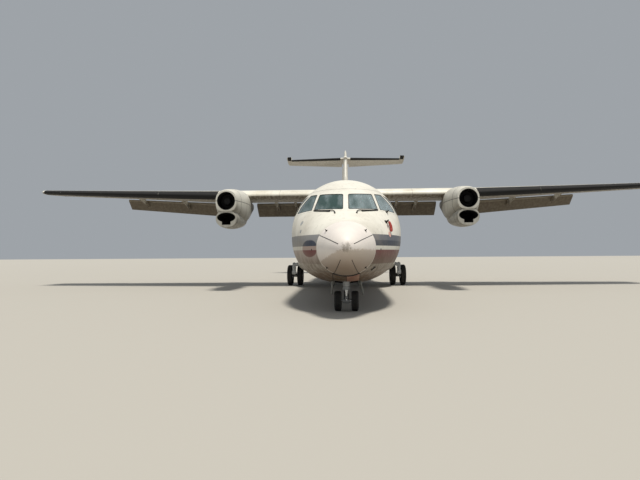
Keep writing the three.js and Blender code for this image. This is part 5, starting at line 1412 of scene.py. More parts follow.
def wing_ring(x, grow=0.0, shrink=1.0):
    """The wing's section at x; shrink below one rounds off the tip."""
    leading, chord, thickness, height = wing_at(x)
    outline = aerofoil(leading + chord * 0.5 * (1 - shrink), chord * shrink, thickness, WING.camber, grow)
    return placed(outline + [0, height], "x", x)


print("wing tip", [round(float(value), 2) for value in wing_at(HALF_SPAN)])

# %% [markdown]
# Flaps and ailerons sit in coves cut behind the rear spar. The flaps turn on blades below the
# wing, and the ailerons on lugs inside it; both are drilled for the pins of the moving parts.


# %% Coves and hinges of the wing
def flap_cove(x):
    """What is cut away behind the rear spar for a flap, leaving the upper shroud."""
    spar, spar_top = wing_point(x, WING.spar, 1)
    lip, lip_top = wing_point(x, WING.shroud, 1)
    rear_end, low, high = lip + WING.chord, spar_top - 700, spar_top + 400
    plate = WING.plate
    return placed([(spar, low), (spar, spar_top - plate), (lip, lip_top - plate), (lip, high),
                   (rear_end, high), (rear_end, low)], "x", x)


FLAP = Sizes(hinge_at=0.7, hinge_drop=0.1167)
FLAP_INNER = Sizes(start=1720, end=3740, brackets=(2050, 2830))
FLAP_OUTER = Sizes(start=4880, end=9205, brackets=(5000, 6650, 8430))
AILERON = Sizes(start=9255, end=11960, hinge_at=0.76, hinges=(9800, 11500))
BRACKET = Sizes(blade=20, front=0.4, round=50, embed=25, bore=20.6)
LUG = Sizes(width=24, boss=22, arm=30, embed=30, bore=10.6)
COVE_REACH = 500


def flap_hinge(x):
    """The flap's hinge, under the wing."""
    leading, chord, _, height = wing_at(x)
    return np.array([x, leading + FLAP.hinge_at * chord, height - FLAP.hinge_drop * chord])


def bracket_blade(x):
    """The wing's half of a flap hinge: a pointed blade with a round foot, drilled for the pin."""
    _, station, height = flap_hinge(x)
    front, spar = wing_point(x, BRACKET.front, -1), wing_point(x, WING.spar - 0.005, -1)
    angle = np.radians(np.linspace(200, 360, 17))
    foot = [station, height] + BRACKET.round * np.stack([np.cos(angle), np.sin(angle)], -1)
    embed = [0, BRACKET.embed]
    outline = [front + embed, front - [0, 4], *foot, spar - [0, 20], spar + embed]
    blade = prism("blade", outline, "x", x - BRACKET.blade, x + BRACKET.blade)
    half = BRACKET.blade + 20
    return cut(blade, rod("bore", flap_hinge(x - half), flap_hinge(x + half), BRACKET.bore))


def aileron_shape(x):
    """Centre, nose radius and tail of the aileron's section."""
    leading, chord, thickness, height = wing_at(x)
    u = AILERON.hinge_at
    centre = np.array([leading + u * chord, height + chord * 4 * WING.camber * u * (1 - u)])
    return centre, chord * thickness * half_thickness(u), np.array([leading + chord, height])


def aileron_cove(x):
    """What is cut from the wing in front of and behind the aileron's nose."""
    centre, radius, _ = aileron_shape(x)
    front = centre[0] - radius - CLEAR
    block = rectangle(front, front + WING.chord, centre[1] - COVE_REACH, centre[1] + COVE_REACH)
    return placed(block, "x", x)


def unit(vector):
    """A vector of length one."""
    vector = np.asarray(vector, float)
    return vector / np.linalg.norm(vector)


def hinge_lug(at, direction, nose_radius, forward=(0, -1, 0)):
    """The fixed half of a control surface's hinge: a drilled lug on an arm."""
    axis = unit(direction)
    at = np.asarray(at, float)
    square = unit(np.asarray(forward, float) - axis * np.dot(axis, forward))
    root = at + square * (nose_radius + CLEAR + LUG.embed)
    half = axis * LUG.width / 2
    lug = join(rod("boss", at - half, at + half, LUG.boss, sides=24),
               bar("arm", at, root, direction, LUG.width, LUG.arm))
    return cut(lug, rod("bore", at - 2 * half, at + 2 * half, LUG.bore, sides=24))


print("flap hinge", flap_hinge(FLAP_INNER.brackets[0]).round().tolist())

# %% Wing skins
inner_joint = WING.joint - GAP / 2
wing_centre = loft("wing_centre_skin", [wing_ring(x) for x in np.linspace(-inner_joint, inner_joint, 25)])
for side in (-1, 1):
    cove = [flap_cove(FLAP_INNER.start - CLEAR), flap_cove(FLAP_INNER.end + CLEAR)]
    cut(wing_centre, loft("cove", [ring * [side, 1, 1] for ring in cove]))
for x in FLAP_INNER.brackets:
    blade = bracket_blade(x)
    join(wing_centre, mirror_copy(blade, "blade_right"), blade)
dress(wing_centre, wing_enamel, replaces=["wing_centre"])
tell()

# %% Outer wings
SPLIT = (FLAP_OUTER.end + AILERON.start) / 2
TIP_ROUND = 140
TIP_RINGS = [(105, 1), (80, 0.994), (55, 0.985), (35, 0.97), (18, 0.94), (6, 0.9), (0, 0.84)]
panel_rings = [wing_ring(x) for x in np.linspace(WING.joint + GAP / 2, HALF_SPAN - TIP_ROUND, 30)]
tip_rings = [wing_ring(HALF_SPAN - inboard, shrink=share) for inboard, share in TIP_RINGS]
wing_outer = loft("wing_outer_skin_left", panel_rings + tip_rings)
cut(wing_outer, loft("cove", [flap_cove(FLAP_OUTER.start - CLEAR), flap_cove(SPLIT)]),
    loft("cove", [aileron_cove(SPLIT - 1), aileron_cove(AILERON.end + CLEAR)]))
join(wing_outer, *(bracket_blade(x) for x in FLAP_OUTER.brackets))
aileron_line = [np.array([x, *aileron_shape(x)[0]]) for x in (AILERON.start, AILERON.end)]
for x in AILERON.hinges:
    centre_point, radius, _ = aileron_shape(x)
    join(wing_outer, hinge_lug((x, *centre_point), aileron_line[1] - aileron_line[0], radius))
pair(wing_outer, wing_enamel, replaces=["wing_outer_left"])
tell()

# %% [markdown]
# Ice breaks off the leading edges when rubber boots glued over them swell. They are black,
# a millimetre or two thick, and end a hand's width behind the nose. The inner wing has none
# in this finish. A boot is a strip of the aerofoil's nose, grown by its thickness.

# %% De-icing boots
# Below the edge the boots widen towards the tip; that black is boot and painted shade under the leading
# edge.
BOOT = Sizes(upper=0.12, lower=(0.055, 0.2), ends=(4900, 12170), thick=2.0, root=-6.0, steps=12)
NOSE_SHARE = 0.004


def boot_ring(sizes, x, upper, lower, camber=0.0):
    """Outside and inside of a boot at x, for an aerofoil's leading edge, chord, thickness and
    height. Points at shares of the chord rise by the camber and half the thickness, grown."""
    steps = BOOT.steps
    shares = np.concatenate([np.linspace(np.sqrt(upper), 0, steps, endpoint=False) ** 2,
                             np.linspace(0, np.sqrt(lower), steps + 1) ** 2])
    sides = np.concatenate([np.ones(steps), -np.ones(steps + 1)])
    sides[steps] = 0
    leading, chord, thickness, height = sizes
    middle = height + chord * 4 * camber * shares * (1 - shares)
    half = chord * thickness * half_thickness(shares)

    def grown(grow):
        """The strip moved outwards, and forward at the very nose."""
        along = leading + shares * chord - np.where(shares < NOSE_SHARE, grow, 0)
        return placed(np.stack([along, middle + sides * (half + grow)], -1), "x", x)

    return np.concatenate([grown(BOOT.thick), grown(BOOT.root)[::-1]])


print("boot", BOOT.thick, "mm thick")

# %% Boots of the wing
OUTER_BOOT_SPANS = [(4900, 7300), (7304, 9700), (9704, 12170)]
for k, (start, end) in enumerate(OUTER_BOOT_SPANS):
    rings = [boot_ring(wing_at(x), x, BOOT.upper, np.interp(x, BOOT.ends, BOOT.lower), WING.camber)
             for x in np.linspace(start, end, 8)]
    pair(loft(f"wing_boot_left_{k}", rings), boot_rubber)
tell()

# %% [markdown]
# The wing lies across the top of the fuselage, and a blister of thin panels smooths the
# corner. It's a body of rings from a table, less the wing and the fuselage that it hides.

# %% Wing fairing
FAIRING_TABLE = np.array([[8150, 500, 3300, 2900], [8600, 900, 3450, 2750], [9150, 1180, 3700, 2650],
                          [9800, 1290, 3835, 2600], [10800, 1300, 3835, 2600], [11700, 1180, 3720, 2650],
                          [12400, 900, 3500, 2750], [13000, 450, 3310, 2900]], float)


def body_rings(table, pieces, sides, upper, lower=None, x=0.0):
    """Rings of a long body from a table of sizes, denser towards the nose."""
    return section_rings(table, spread(table[0, 0], table[-1, 0], pieces), sides, upper, lower or upper, x)


def whole_fuselage(grow):
    """The fuselage behind the radome as one solid, grown outwards."""
    return fuselage("whole_fuselage", np.linspace(RADOME_END, 21400, 160), -grow)


def wing_blank(grow):
    """The centre wing before its coves are cut, grown outwards."""
    return loft("wing_blank", [wing_ring(x, grow) for x in np.linspace(-inner_joint, inner_joint, 9)])


fairing = loft("wing_fairing_skin", body_rings(FAIRING_TABLE, 60, 96, 2.2))
cut(fairing, whole_fuselage(GAP), wing_blank(GAP))
dress(fairing, part_enamel, replaces=["wing_fairing"])
tell()

# %% [markdown]
# Each nacelle holds its engine in an upper body, and breathes through an oval mouth in a chin
# below it. The round hole and the mouth are lined in near-black, oil and soot with painted shade,
# with the shaft's flange inside the hole. Both bodies come from tables of sizes, and closed shapes cut the
# mouth and the engine's bay.

# %% Nacelle sizes
NACELLE = Sizes(x=4050, shaft=3080, bore=310, bore_end=9000, ahead=6900)
NACELLE_TABLE = np.array([
    [7060, 355, 3435, 2725], [7250, 400, 3490, 2660], [7700, 475, 3560, 2500], [8400, 520, 3620, 2370],
    [9200, 430, 3650, 2480], [10000, 310, 3480, 2690], [10800, 210, 3440, 2930], [11500, 120, 3420, 3130],
    [11900, 30, 3390, 3290]], float)
CHIN_TABLE = np.array([[7080, 355, 2760, 2190], [7300, 380, 2800, 2165], [7800, 395, 2800, 2160],
                       [8600, 380, 2800, 2230], [9200, 290, 2850, 2370], [9700, 160, 2900, 2560]], float)
NACELLE_POWERS = Sizes(upper=2.4, lower=3, chin=2.2)
INTAKE = Sizes(height=2520, half_width=315, half_height=165, end=7950)
OIL_COOLER = Sizes(half_width=150, low=2270, high=2400, end=7650)
LINING = Sizes(front=7110, ahead=7000, bay_front=7085, play=0.6, inside=7, back=12)
EXHAUST = Sizes(start=(4150, 9800, 2960), end=(4500, 11200, 2860), start_radius=170, end_radius=150,
                wall=8)


def exhaust_point(share):
    """A point along the exhaust pipe's line."""
    return np.add(EXHAUST.start, share * np.subtract(EXHAUST.end, EXHAUST.start))


def oval(height, half_width, half_height, count=48):
    """An ellipse seen from ahead, as x and height."""
    angle = angles_round(count)
    return np.stack([NACELLE.x + half_width * np.cos(angle), height + half_height * np.sin(angle)], -1)


def shaft_rod(name, start, end, radius):
    """A round bar on the propeller shaft's line, between two stations."""
    ends = [(NACELLE.x, station, NACELLE.shaft) for station in (start, end)]
    return rod(name, *ends, radius, sides=64)


mouth = oval(INTAKE.height, INTAKE.half_width, INTAKE.half_height)
cooler = rectangle(NACELLE.x - OIL_COOLER.half_width, NACELLE.x + OIL_COOLER.half_width,
                   OIL_COOLER.low, OIL_COOLER.high)
print("mouth", np.ptp(mouth, axis=0).round().tolist(), "mm")

# %% Nacelles
upper_body = body_rings(NACELLE_TABLE, 60, 80, NACELLE_POWERS.upper, NACELLE_POWERS.lower, NACELLE.x)
chin_body = body_rings(CHIN_TABLE, 40, 80, NACELLE_POWERS.chin, x=NACELLE.x)
nacelle = join(loft("nacelle_skin_left", upper_body), loft("chin", chin_body))
cut(nacelle, wing_blank(GAP),
    shaft_rod("engine_bay", NACELLE.ahead, NACELLE.bore_end, NACELLE.bore),
    prism("mouth", mouth, "y", NACELLE.ahead, INTAKE.end),
    prism("cooler", cooler, "y", NACELLE.ahead, OIL_COOLER.end),
    rod("pipe_gap", exhaust_point(-0.0003), exhaust_point(1), EXHAUST.start_radius + GAP,
        EXHAUST.end_radius + GAP, sides=48))
pair(nacelle, nacelle_enamel, replaces=["nacelle_left"])
tell()

# %% Duct linings and exhaust pipes
# The linings are near-black sheets: soot, and painted shade deep in the ducts and the bay.
ducts = (("duct", mouth, INTAKE.end), ("cooler", cooler, OIL_COOLER.end))
liner = join(*(prism(f"{name}_lining_left", inset(outline, LINING.play), "y", LINING.front, end - 1)
               for name, outline, end in ducts))
cut(liner, join(*(prism("air", inset(outline, LINING.inside), "y", LINING.ahead, end - LINING.back)
                  for _, outline, end in ducts)))
pair(liner, duct_soot_and_shade)
bay_liner = cut(shaft_rod("engine_bay_lining_left", LINING.bay_front, NACELLE.bore_end - 1,
                          NACELLE.bore - LINING.play),
                shaft_rod("bay_air", NACELLE.ahead, NACELLE.bore_end - LINING.back,
                          NACELLE.bore - LINING.inside))
pair(bay_liner, duct_soot_and_shade)

exhaust = cut(rod("exhaust_pipe_left", exhaust_point(0), exhaust_point(1), EXHAUST.start_radius,
                  EXHAUST.end_radius, sides=64),
              rod("pipe_bore", exhaust_point(0.4), exhaust_point(1.05),
                  EXHAUST.end_radius - EXHAUST.wall, sides=64))
pair(exhaust, burnt_steel, replaces=["exhaust_left"])
tell()

# %% [markdown]
# The tail is a tall fin with the stabiliser across its top. A bullet fairing smooths the
# joint, and a long low fillet runs forward from the fin's foot along the fuselage.

# %% Tail sizes
FIN = Sizes(root=3050, root_leading=17750, root_trailing=21650, top=7050, top_leading=20300,
            top_trailing=22450, thickness=0.11, bottom=2700, hinge_at=0.66)
DORSAL = Sizes(front=13900, front_top=3295, rear=18640, rear_top=4350, bottom=2950)
RUDDER = Sizes(start=3120, end=6760, head_gap=38, hinges=(3500, 4950, 6400))
FIN_CAP = [(7120, 20380, 22380, 0.09), (7480, 20560, 22330, 0.08), (7590, 20760, 22250, 0.03)]
STABILISER = Sizes(height=7050, root_leading=20550, root_chord=2050, half_span=3655, tip_leading=20950,
                   tip_chord=1250, thickness=0.11, fixed_to=3340)
ELEVATOR = Sizes(hinge=21800, start=210, hinges=(700, 2900), cove_reach=300, cove_length=2000)
BULLET_TABLE = np.array([
    [20150, 20, 7070, 7030], [20400, 110, 7170, 6930], [20900, 170, 7240, 6860], [21600, 180, 7250, 6850],
    [22200, 130, 7190, 6920], [22500, 70, 7130, 6980], [LENGTH, 12, 7062, 7038]], float)


def stabiliser_at(x):
    """Leading edge and chord of the stabiliser."""
    share = abs(x) / STABILISER.half_span
    leading = STABILISER.root_leading + (STABILISER.tip_leading - STABILISER.root_leading) * share
    return leading, STABILISER.root_chord + (STABILISER.tip_chord - STABILISER.root_chord) * share


def stabiliser_ring(x, grow=0.0):
    """The stabiliser's section."""
    leading, chord = stabiliser_at(x)
    outline = aerofoil(leading, chord, STABILISER.thickness, 0, grow)
    return placed(outline + [0, STABILISER.height], "x", x)


def elevator_radius(x):
    """The elevator's nose radius."""
    leading, chord = stabiliser_at(x)
    return chord * STABILISER.thickness * half_thickness((ELEVATOR.hinge - leading) / chord) - 1


def elevator_cove(x, side):
    """What is cut from the stabiliser for the elevator."""
    front = ELEVATOR.hinge - elevator_radius(x) - CLEAR
    reach = ELEVATOR.cove_reach
    block = rectangle(front, front + ELEVATOR.cove_length, STABILISER.height - reach,
                      STABILISER.height + reach)
    return placed(block, "x", side * x)


def stabiliser_blank(grow):
    """The whole stabiliser before its coves are cut."""
    span = STABILISER.fixed_to
    return loft("stabiliser_skin", [stabiliser_ring(x, grow) for x in np.linspace(-span, span, 21)])


def bullet(grow):
    """The bullet fairing, grown outwards."""
    stations = spread(BULLET_TABLE[0, 0], BULLET_TABLE[-1, 0], 60)
    return loft("bullet", section_rings(BULLET_TABLE, stations, 48, wall=-grow))


print("stabiliser tip chord", stabiliser_at(STABILISER.half_span)[1])


# %% Shapes of the fin
def fin_at(height):
    """Leading edge and chord of the fin at a height."""
    share = (height - FIN.root) / (FIN.top - FIN.root)
    leading = FIN.root_leading + (FIN.top_leading - FIN.root_leading) * share
    return leading, FIN.root_trailing + (FIN.top_trailing - FIN.root_trailing) * share - leading


def upright(outline, height):
    """Distance aft and width placed level at a height."""
    outline = np.asarray(outline, float)
    return np.stack([outline[:, 1], outline[:, 0], np.full(len(outline), height)], -1)


def fin_ring(height):
    """The fin's section."""
    leading, chord = fin_at(height)
    return upright(aerofoil(leading, chord, FIN.thickness), height)


def rudder_shape(height):
    """Hinge station and nose radius of the rudder."""
    leading, chord = fin_at(height)
    return leading + FIN.hinge_at * chord, chord * FIN.thickness * half_thickness(FIN.hinge_at) - 1


def rudder_cove(height):
    """What is cut from the fin for the rudder."""
    hinge, radius = rudder_shape(height)
    front = hinge - radius - CLEAR
    return placed(rectangle(-COVE_REACH, COVE_REACH, front, front + 3000), "z", height)


def dorsal_ring(share):
    """A five-cornered section of the fillet in front of the fin."""
    station = DORSAL.front + (DORSAL.rear - DORSAL.front) * share
    top = DORSAL.front_top + (DORSAL.rear_top - DORSAL.front_top) * share
    base, crest = 60 + 110 * share, 20 + 50 * share
    return placed([(-base, DORSAL.bottom), (base, DORSAL.bottom), (crest, top - 30), (0, top),
                   (-crest, top - 30)], "y", station)


print("fin chord at the root", fin_at(FIN.root)[1])

# %% Stabiliser
stabiliser = stabiliser_blank(0)
for side in (-1, 1):
    cut(stabiliser, loft("cove", [elevator_cove(ELEVATOR.start - CLEAR, side),
                                  elevator_cove(STABILISER.fixed_to + 1, side)]))
    for x in ELEVATOR.hinges:
        at = (side * x, ELEVATOR.hinge, STABILISER.height)
        join(stabiliser, hinge_lug(at, (1, 0, 0), elevator_radius(x)))
fin_cap = loft("fin_cap", [upright(aerofoil(leading, trailing - leading, thickness), height)
                           for height, leading, trailing, thickness in FIN_CAP])
join(stabiliser, bullet(0), fin_cap)
dress(stabiliser, tail_enamel, replaces=["stabilizer"])
tell()

# %% Fin
fin = join(loft("fin_skin", [fin_ring(h) for h in np.linspace(FIN.bottom, FIN.top, 25)]),
           loft("dorsal", [dorsal_ring(share) for share in (0, 0.5, 1)]))
cut(fin, whole_fuselage(GAP), bullet(GAP), stabiliser_blank(GAP),
    loft("cove", [rudder_cove(FIN.bottom - 10), rudder_cove(RUDDER.end + RUDDER.head_gap)]))
rudder_line = np.array([[0, rudder_shape(h)[0], h] for h in (RUDDER.start, RUDDER.end)])
for height in RUDDER.hinges:
    hinge, radius = rudder_shape(height)
    join(fin, hinge_lug((0, hinge, height), rudder_line[1] - rudder_line[0], radius))
dress(fin, tail_enamel, replaces=["fin"])
tell()

# %% [markdown]
# The stabiliser has boots as well. The elevators' horns, the tips that stick out ahead of the
# hinge, have their own, which hang at the elevators' angle and turn with them.

# %% Boots of the stabiliser and the horns
HORN_DROOP = np.radians(13)
TAIL_BOOT_SPAN, TAIL_BOOT_SHARES = (300, 3330), (0.08, 0.08)
HORN_SPAN, HORN_SHARES = (3370, 3600), (0.14, 0.3)


def stabiliser_boot(x, upper, lower):
    """A boot's ring on the stabiliser."""
    return boot_ring((*stabiliser_at(x), STABILISER.thickness, STABILISER.height), x, upper, lower)


def drooped(rings):
    """Rings turned about the elevators' hinge line by the angle at which they hang."""
    rings = np.array(rings)
    aft, rise = rings[..., 1] - ELEVATOR.hinge, rings[..., 2] - STABILISER.height
    along = ELEVATOR.hinge + aft * np.cos(HORN_DROOP) + rise * np.sin(HORN_DROOP)
    height = STABILISER.height - aft * np.sin(HORN_DROOP) + rise * np.cos(HORN_DROOP)
    return np.stack([rings[..., 0], along, height], -1)


rings = [stabiliser_boot(x, *TAIL_BOOT_SHARES) for x in np.linspace(*TAIL_BOOT_SPAN, 8)]
pair(loft("stabiliser_boot_left", rings), boot_rubber)
horn_rings = [stabiliser_boot(x, *HORN_SHARES) for x in np.linspace(*HORN_SPAN, 6)]
pair(loft("horn_boot_left", drooped(horn_rings)), boot_rubber, "elevators")
tell()

# %% [markdown]
# The main gear folds into sponsons, long blisters low on the fuselage. They are open where
# the wheels go, since this type has no doors there.

# %% Sponsons
SPONSON = Sizes(x=1150, bay_inner=1000, bay_outer=2300, bay_front=9780, bay_rear=11050, bay_roof=1100,
                bay_floor=300)
SPONSON_TABLE = np.array([
    [8500, 60, 1050, 950], [8800, 420, 1250, 700], [9400, 680, 1380, 560], [10200, 770, 1420, 520],
    [11000, 770, 1420, 520], [11800, 640, 1360, 580], [12500, 330, 1180, 760],
    [12900, 60, 1040, 940]], float)
SPONSON_JACK = Sizes(x=1300, station=9400, radius=40, face=535, root=640)
sponson = loft("sponson_skin_left", body_rings(SPONSON_TABLE, 60, 80, 2.2, x=SPONSON.x))
wheel_bay = rectangle(SPONSON.bay_front, SPONSON.bay_rear, SPONSON.bay_floor, SPONSON.bay_roof)
cut(sponson, whole_fuselage(GAP),
    prism("wheel_bay", wheel_bay, "x", SPONSON.bay_inner, SPONSON.bay_outer))
join(sponson, jack_pad(SPONSON_JACK))
pair(sponson, sponson_enamel, replaces=["sponson_left"])
tell()

# %% [markdown]
# Aircraft tyres are narrow and high-pressure, with straight grooves round the tread. Each is a
# closed profile turned about the axle. The wheel inside is a forged alloy half with cooling
# holes, a bolt circle and a dust cap, and both ride on their own wheel's body.

# %% Shapes of tyres and wheels
NOSE_WHEEL = Sizes(radius=225, width=165, x=190, axle=30, station=1700, bolts=6)
MAIN_WHEEL = Sizes(radius=406, width=222, x=200, axle=40, station=10480, bolts=9)
MAIN_TRACK = 2050


def ring_solid(name, centre, profile, sides=96):
    """A closed outline of (distance along x, radius) turned about a line along x."""
    profile = np.asarray(profile, float)
    angle = angles_round(sides)[:, None]
    along = np.broadcast_to(profile[:, 0], (sides, len(profile)))
    points = np.stack([along, profile[:, 1] * np.cos(angle), profile[:, 1] * np.sin(angle)], -1) + centre
    faces = grid_faces(sides + 1, len(profile)) % (sides * len(profile))
    return mesh_object(name, points, faces)


def tyre_profile(radius, width):
    """Bead, bulged side wall, round shoulder and a tread with four straight grooves."""
    rim, half = radius * 0.5, width / 2
    turn = np.linspace(-0.75, 1.25, 17)
    side = np.stack([half * (0.74 + 0.25 * np.cos(turn)),
                     rim + (radius - rim) * (0.42 + 0.44 * np.sin(turn))], -1)
    grooves = np.array([(x * half + edge, radius - drop) for x in (0.42, 0.15)
                        for edge, drop in ((5, 1), (4, 9), (-4, 9), (-5, 1))])
    upper = np.concatenate([[(half * 0.72, rim)], side, [(half * 0.6, radius - 3)], grooves])
    lower = upper[::-1] * [-1, 1]
    return np.concatenate([upper, lower])


def wheel_profile(radius, width, axle):
    """Half of a forged wheel from its inner face to the dust cap, turned about the axle."""
    rim, half = radius * 0.5, width / 2 * 0.72
    return [(-half, rim * 0.9), (-half, rim - 1), (half - 6, rim - 1), (half, rim + 4), (half, rim - 8),
            (half * 0.75, rim * 0.86), (half * 0.3, rim * 0.8), (half * 0.22, rim * 0.5),
            (half * 0.6, axle * 2.1), (half, axle * 1.9), (half, axle * 1.35),
            (half * 1.1, axle * 1.2), (half * 1.13, 0.5)]


print("tyre outline of", len(tyre_profile(406, 222)), "points")


# %% Wheels on their axles
def build_wheel(wheel, centre, outward, body, tyre_node, label):
    """One tyre and wheel half with its bolts, at a point, facing outward along x."""
    tyre = ring_solid(f"{label}_tyre", centre, tyre_profile(wheel.radius - 0.5, wheel.width - 1))
    dress(tyre, tyre_rubber, body, [tyre_node], sharp=50)
    profile = wheel_profile(wheel.radius, wheel.width, wheel.axle)
    disc = turned(f"{label}_wheel", centre, np.add(centre, (outward, 0, 0)), profile, 64)
    reach, out = wheel.radius * 0.31, wheel.width * 0.0864
    bolts = []
    for angle in angles_round(wheel.bolts):
        at = np.add(centre, (outward * out, reach * np.cos(angle), reach * np.sin(angle)))
        ends = [at - [outward * 4, 0, 0], at + [outward * 16, 0, 0]]
        bolts.append(rod("bolt", *ends, wheel.axle * 0.24, sides=6))
    dress(merged(f"{label}_wheel", [disc, *bolts]), hub_alloy, body)


def wheel_pair(wheel, centre_x, body, nodes, hubs_node, label):
    """Two wheels on one axle."""
    places = [(centre_x + side * wheel.x, wheel.station, wheel.radius) for side in (-1, 1)]
    for place, side, node in zip(places, (-1, 1), nodes):
        build_wheel(wheel, place, side, body, node, f"{label}_{'port' if side > 0 else 'starboard'}")
    axle = rod(f"{label}_axle", *places, wheel.axle)
    dress(axle, chrome, body, [hubs_node])


wheel_pair(NOSE_WHEEL, 0, "nose_wheels", ("nose_tyre_right", "nose_tyre_left"), "nose_wheel_hubs", "nose")
wheel_pair(MAIN_WHEEL, MAIN_TRACK, "main_wheels_left", ("main_tyre_left_inner", "main_tyre_left_outer"),
           "main_wheel_hubs_left", "main_left")
wheel_pair(MAIN_WHEEL, -MAIN_TRACK, "main_wheels_right", ("main_tyre_right_outer", "main_tyre_right_inner"),
           "main_wheel_hubs_right", "main_right")
tell()

# %% [markdown]
# Landing gear legs are steel forgings painted grey, with hard chrome where a piston slides.
# The frame's own solids carry the loads' shape, so finer tubes, collars and a towing fitting
# are laid over them. What turns with the wheels rides on the steered part.

# %% Nose gear
NOSE_LEG = 1700


def leg_ring(height, radius, thick, name="collar"):
    """A clamp ring round the nose leg."""
    return turned(name, (0, NOSE_LEG, height), (0, NOSE_LEG, height + thick),
                  [(0, radius - 6), (3, radius), (thick - 3, radius), (thick, radius - 6)], 48)


leg_tube = rod("nose_leg_tube", (0, NOSE_LEG, 1149), (0, NOSE_LEG, 560), 79.5, sides=48)
leg_tube = join(leg_tube, *(leg_ring(z, 88, 26) for z in (566, 640, 780, 930)))
dress(leg_tube, gear_enamel)
chrome_tube = rod("nose_leg_chrome", (0, NOSE_LEG, 556), (0, NOSE_LEG, 240), 51.5, sides=48)
dress(chrome_tube, chrome, "nose_steering")
steer_ring = join(leg_ring(472, 84, 74, "steering_collar"), leg_ring(490, 90, 14), leg_ring(520, 90, 14))
dress(steer_ring, gear_enamel, "nose_steering")
knuckle_cap = rod("nose_axle_housing", (-81, NOSE_LEG, 225), (81, NOSE_LEG, 225), 54, sides=40)
dress(knuckle_cap, gear_enamel, "nose_steering")
TOW_PROFILE = [(0, 20), (4, 30), (60, 30), (64, 20)]
tow_eye = turned("tow_fitting", (-32, NOSE_LEG - 112, 300), (32, NOSE_LEG - 112, 300), TOW_PROFILE, 32)
dress(tow_eye, bare_alloy, "nose_steering")
tell()

# %% Actuators, door links and taxi light
ACTUATOR_HEIGHT, LIGHT_HEIGHT = 690, 860
for side, label in BOTH_SIDES:
    rear, front, tip = ((side * x, NOSE_LEG + aft, ACTUATOR_HEIGHT)
                        for x, aft in ((150, 60), (62, -70), (40, -88)))
    jack = join(rod(f"steering_actuator_{label}", front, rear, 20, sides=24),
                rod("actuator_rod", tip, front, 10, sides=16))
    dress(jack, bare_alloy)
    link = rod(f"door_link_{label}", (side * 78, 1790, 600), (side * 296, 1830, 588), 9, sides=16)
    dress(link, bare_alloy)
LIGHT_PROFILE = [(0, 30), (30, 66), (62, 72), (72, 72)]
LENS_PROFILE = [(0, 66), (5, 64), (10, 30)]
taxi_light = turned("taxi_light", (0, NOSE_LEG - 78, LIGHT_HEIGHT), (0, NOSE_LEG - 150, LIGHT_HEIGHT),
                    LIGHT_PROFILE, 40)
dress(taxi_light, gear_enamel)
lens = turned("taxi_light_lens", (0, NOSE_LEG - 146, LIGHT_HEIGHT), (0, NOSE_LEG - 156, LIGHT_HEIGHT),
              LENS_PROFILE, 40)
dress(lens, lamp_lens)
tell()

# %% [markdown]
# The main legs are castings with a trailing arm that swings on a pivot, held up by a shock
# strut. The strut is a chromed piston in a cylinder with clamp rings.

# %% Main gear
PIVOT, TRAIL = 9950, 530
BOSS_PROFILE = [(0, 60), (8, 74), (148, 74), (156, 60)]
CYLINDER_PROFILE = [(0, 50), (10, 56), (40, 56), (48, 50), (250, 50), (262, 55), (280, 55)]
for side, label in BOTH_SIDES:
    x = side * MAIN_TRACK
    leg = join(rod(f"main_leg_casting_{label}", (x, PIVOT, 872), (x, PIVOT, 498), 64, sides=40),
               rod("trunnion", (side * 1500, PIVOT, 925), (x, PIVOT, 830), 72, 67, sides=40),
               turned("pivot_boss", (x - 78, PIVOT, 530), (x + 78, PIVOT, 530), BOSS_PROFILE, 40))
    dress(leg, gear_enamel)
    arm = rod(f"trailing_arm_{label}", (x, PIVOT + 20, 535), (x, PIVOT + TRAIL, 406), 60, 62, sides=40)
    dress(arm, gear_enamel)
    low, high = np.array([x, PIVOT + TRAIL - 150, 470.0]), np.array([x, PIVOT + 40, 880.0])
    piston = rod(f"shock_piston_{label}", low, low + (high - low) * 0.55, 43.5, sides=40)
    dress(piston, chrome)
    cylinder = turned(f"shock_cylinder_{label}", low + (high - low) * 0.5, high, CYLINDER_PROFILE, 40)
    dress(cylinder, gear_enamel)
tell()

# %% [markdown]
# A pilot's seat is a moulded shell with foam cushions in stitched cloth: a pan, a back and a
# head rest. A cushion swells between its edges, is pulled in along its sides and sinks along
# its sewn channels. Here it is a rounded box whose faces rise with the distance from the rim.


# %% Shape of a cushion
def softened(value, power):
    """A cosine or sine raised to a power with its sign kept."""
    return np.sign(value) * np.abs(value) ** power


def cushion(name, centre, size, lean=0.0, channels=(0.42,), groove=7.0, rows=96):
    """A crowned closed pad. A point's direction picks its place on a box with soft edges: each
    side is a cosine raised to a small power. The faces bulge by the product of how far their
    points lie from the rims, the sides pull in at their middles, and channels cut grooves."""
    around = np.linspace(-np.pi, np.pi, 2 * rows, endpoint=False)[None]
    up = np.linspace(-np.pi / 2, np.pi / 2, rows)[1:-1, None]
    soft = 0.32
    a = softened(np.cos(up), soft) * softened(np.cos(around), soft)
    b = softened(np.cos(up), soft) * softened(np.sin(around), soft)
    c = softened(np.sin(up), soft) + 0 * around
    rim = np.clip((1 - a**2) * (1 - b**2), 0, 1)
    pulled = 1 - 0.05 * (1 - np.abs(c)) - 0.03 * (1 - b**2) * np.abs(a) ** 8
    seam = sum(np.exp(-((np.abs(a) - place) / 0.035) ** 2) for place in channels)
    half = np.asarray(size, float) / 2
    rise = c * (half[2] * (0.78 + 0.3 * rim)) - np.sign(c) * groove * seam * np.abs(c) ** 6
    points = np.stack([a * pulled * half[0], b * pulled * half[1], rise], -1).reshape(-1, 3)
    turn = np.array([[1, 0, 0], [0, np.cos(lean), -np.sin(lean)], [0, np.sin(lean), np.cos(lean)]])
    across = 2 * rows
    ends = [range(across), range((rows - 3) * across, (rows - 2) * across)]
    return mesh_object(name, points @ turn.T + centre, [*grid_faces(rows - 2, across), *ends])


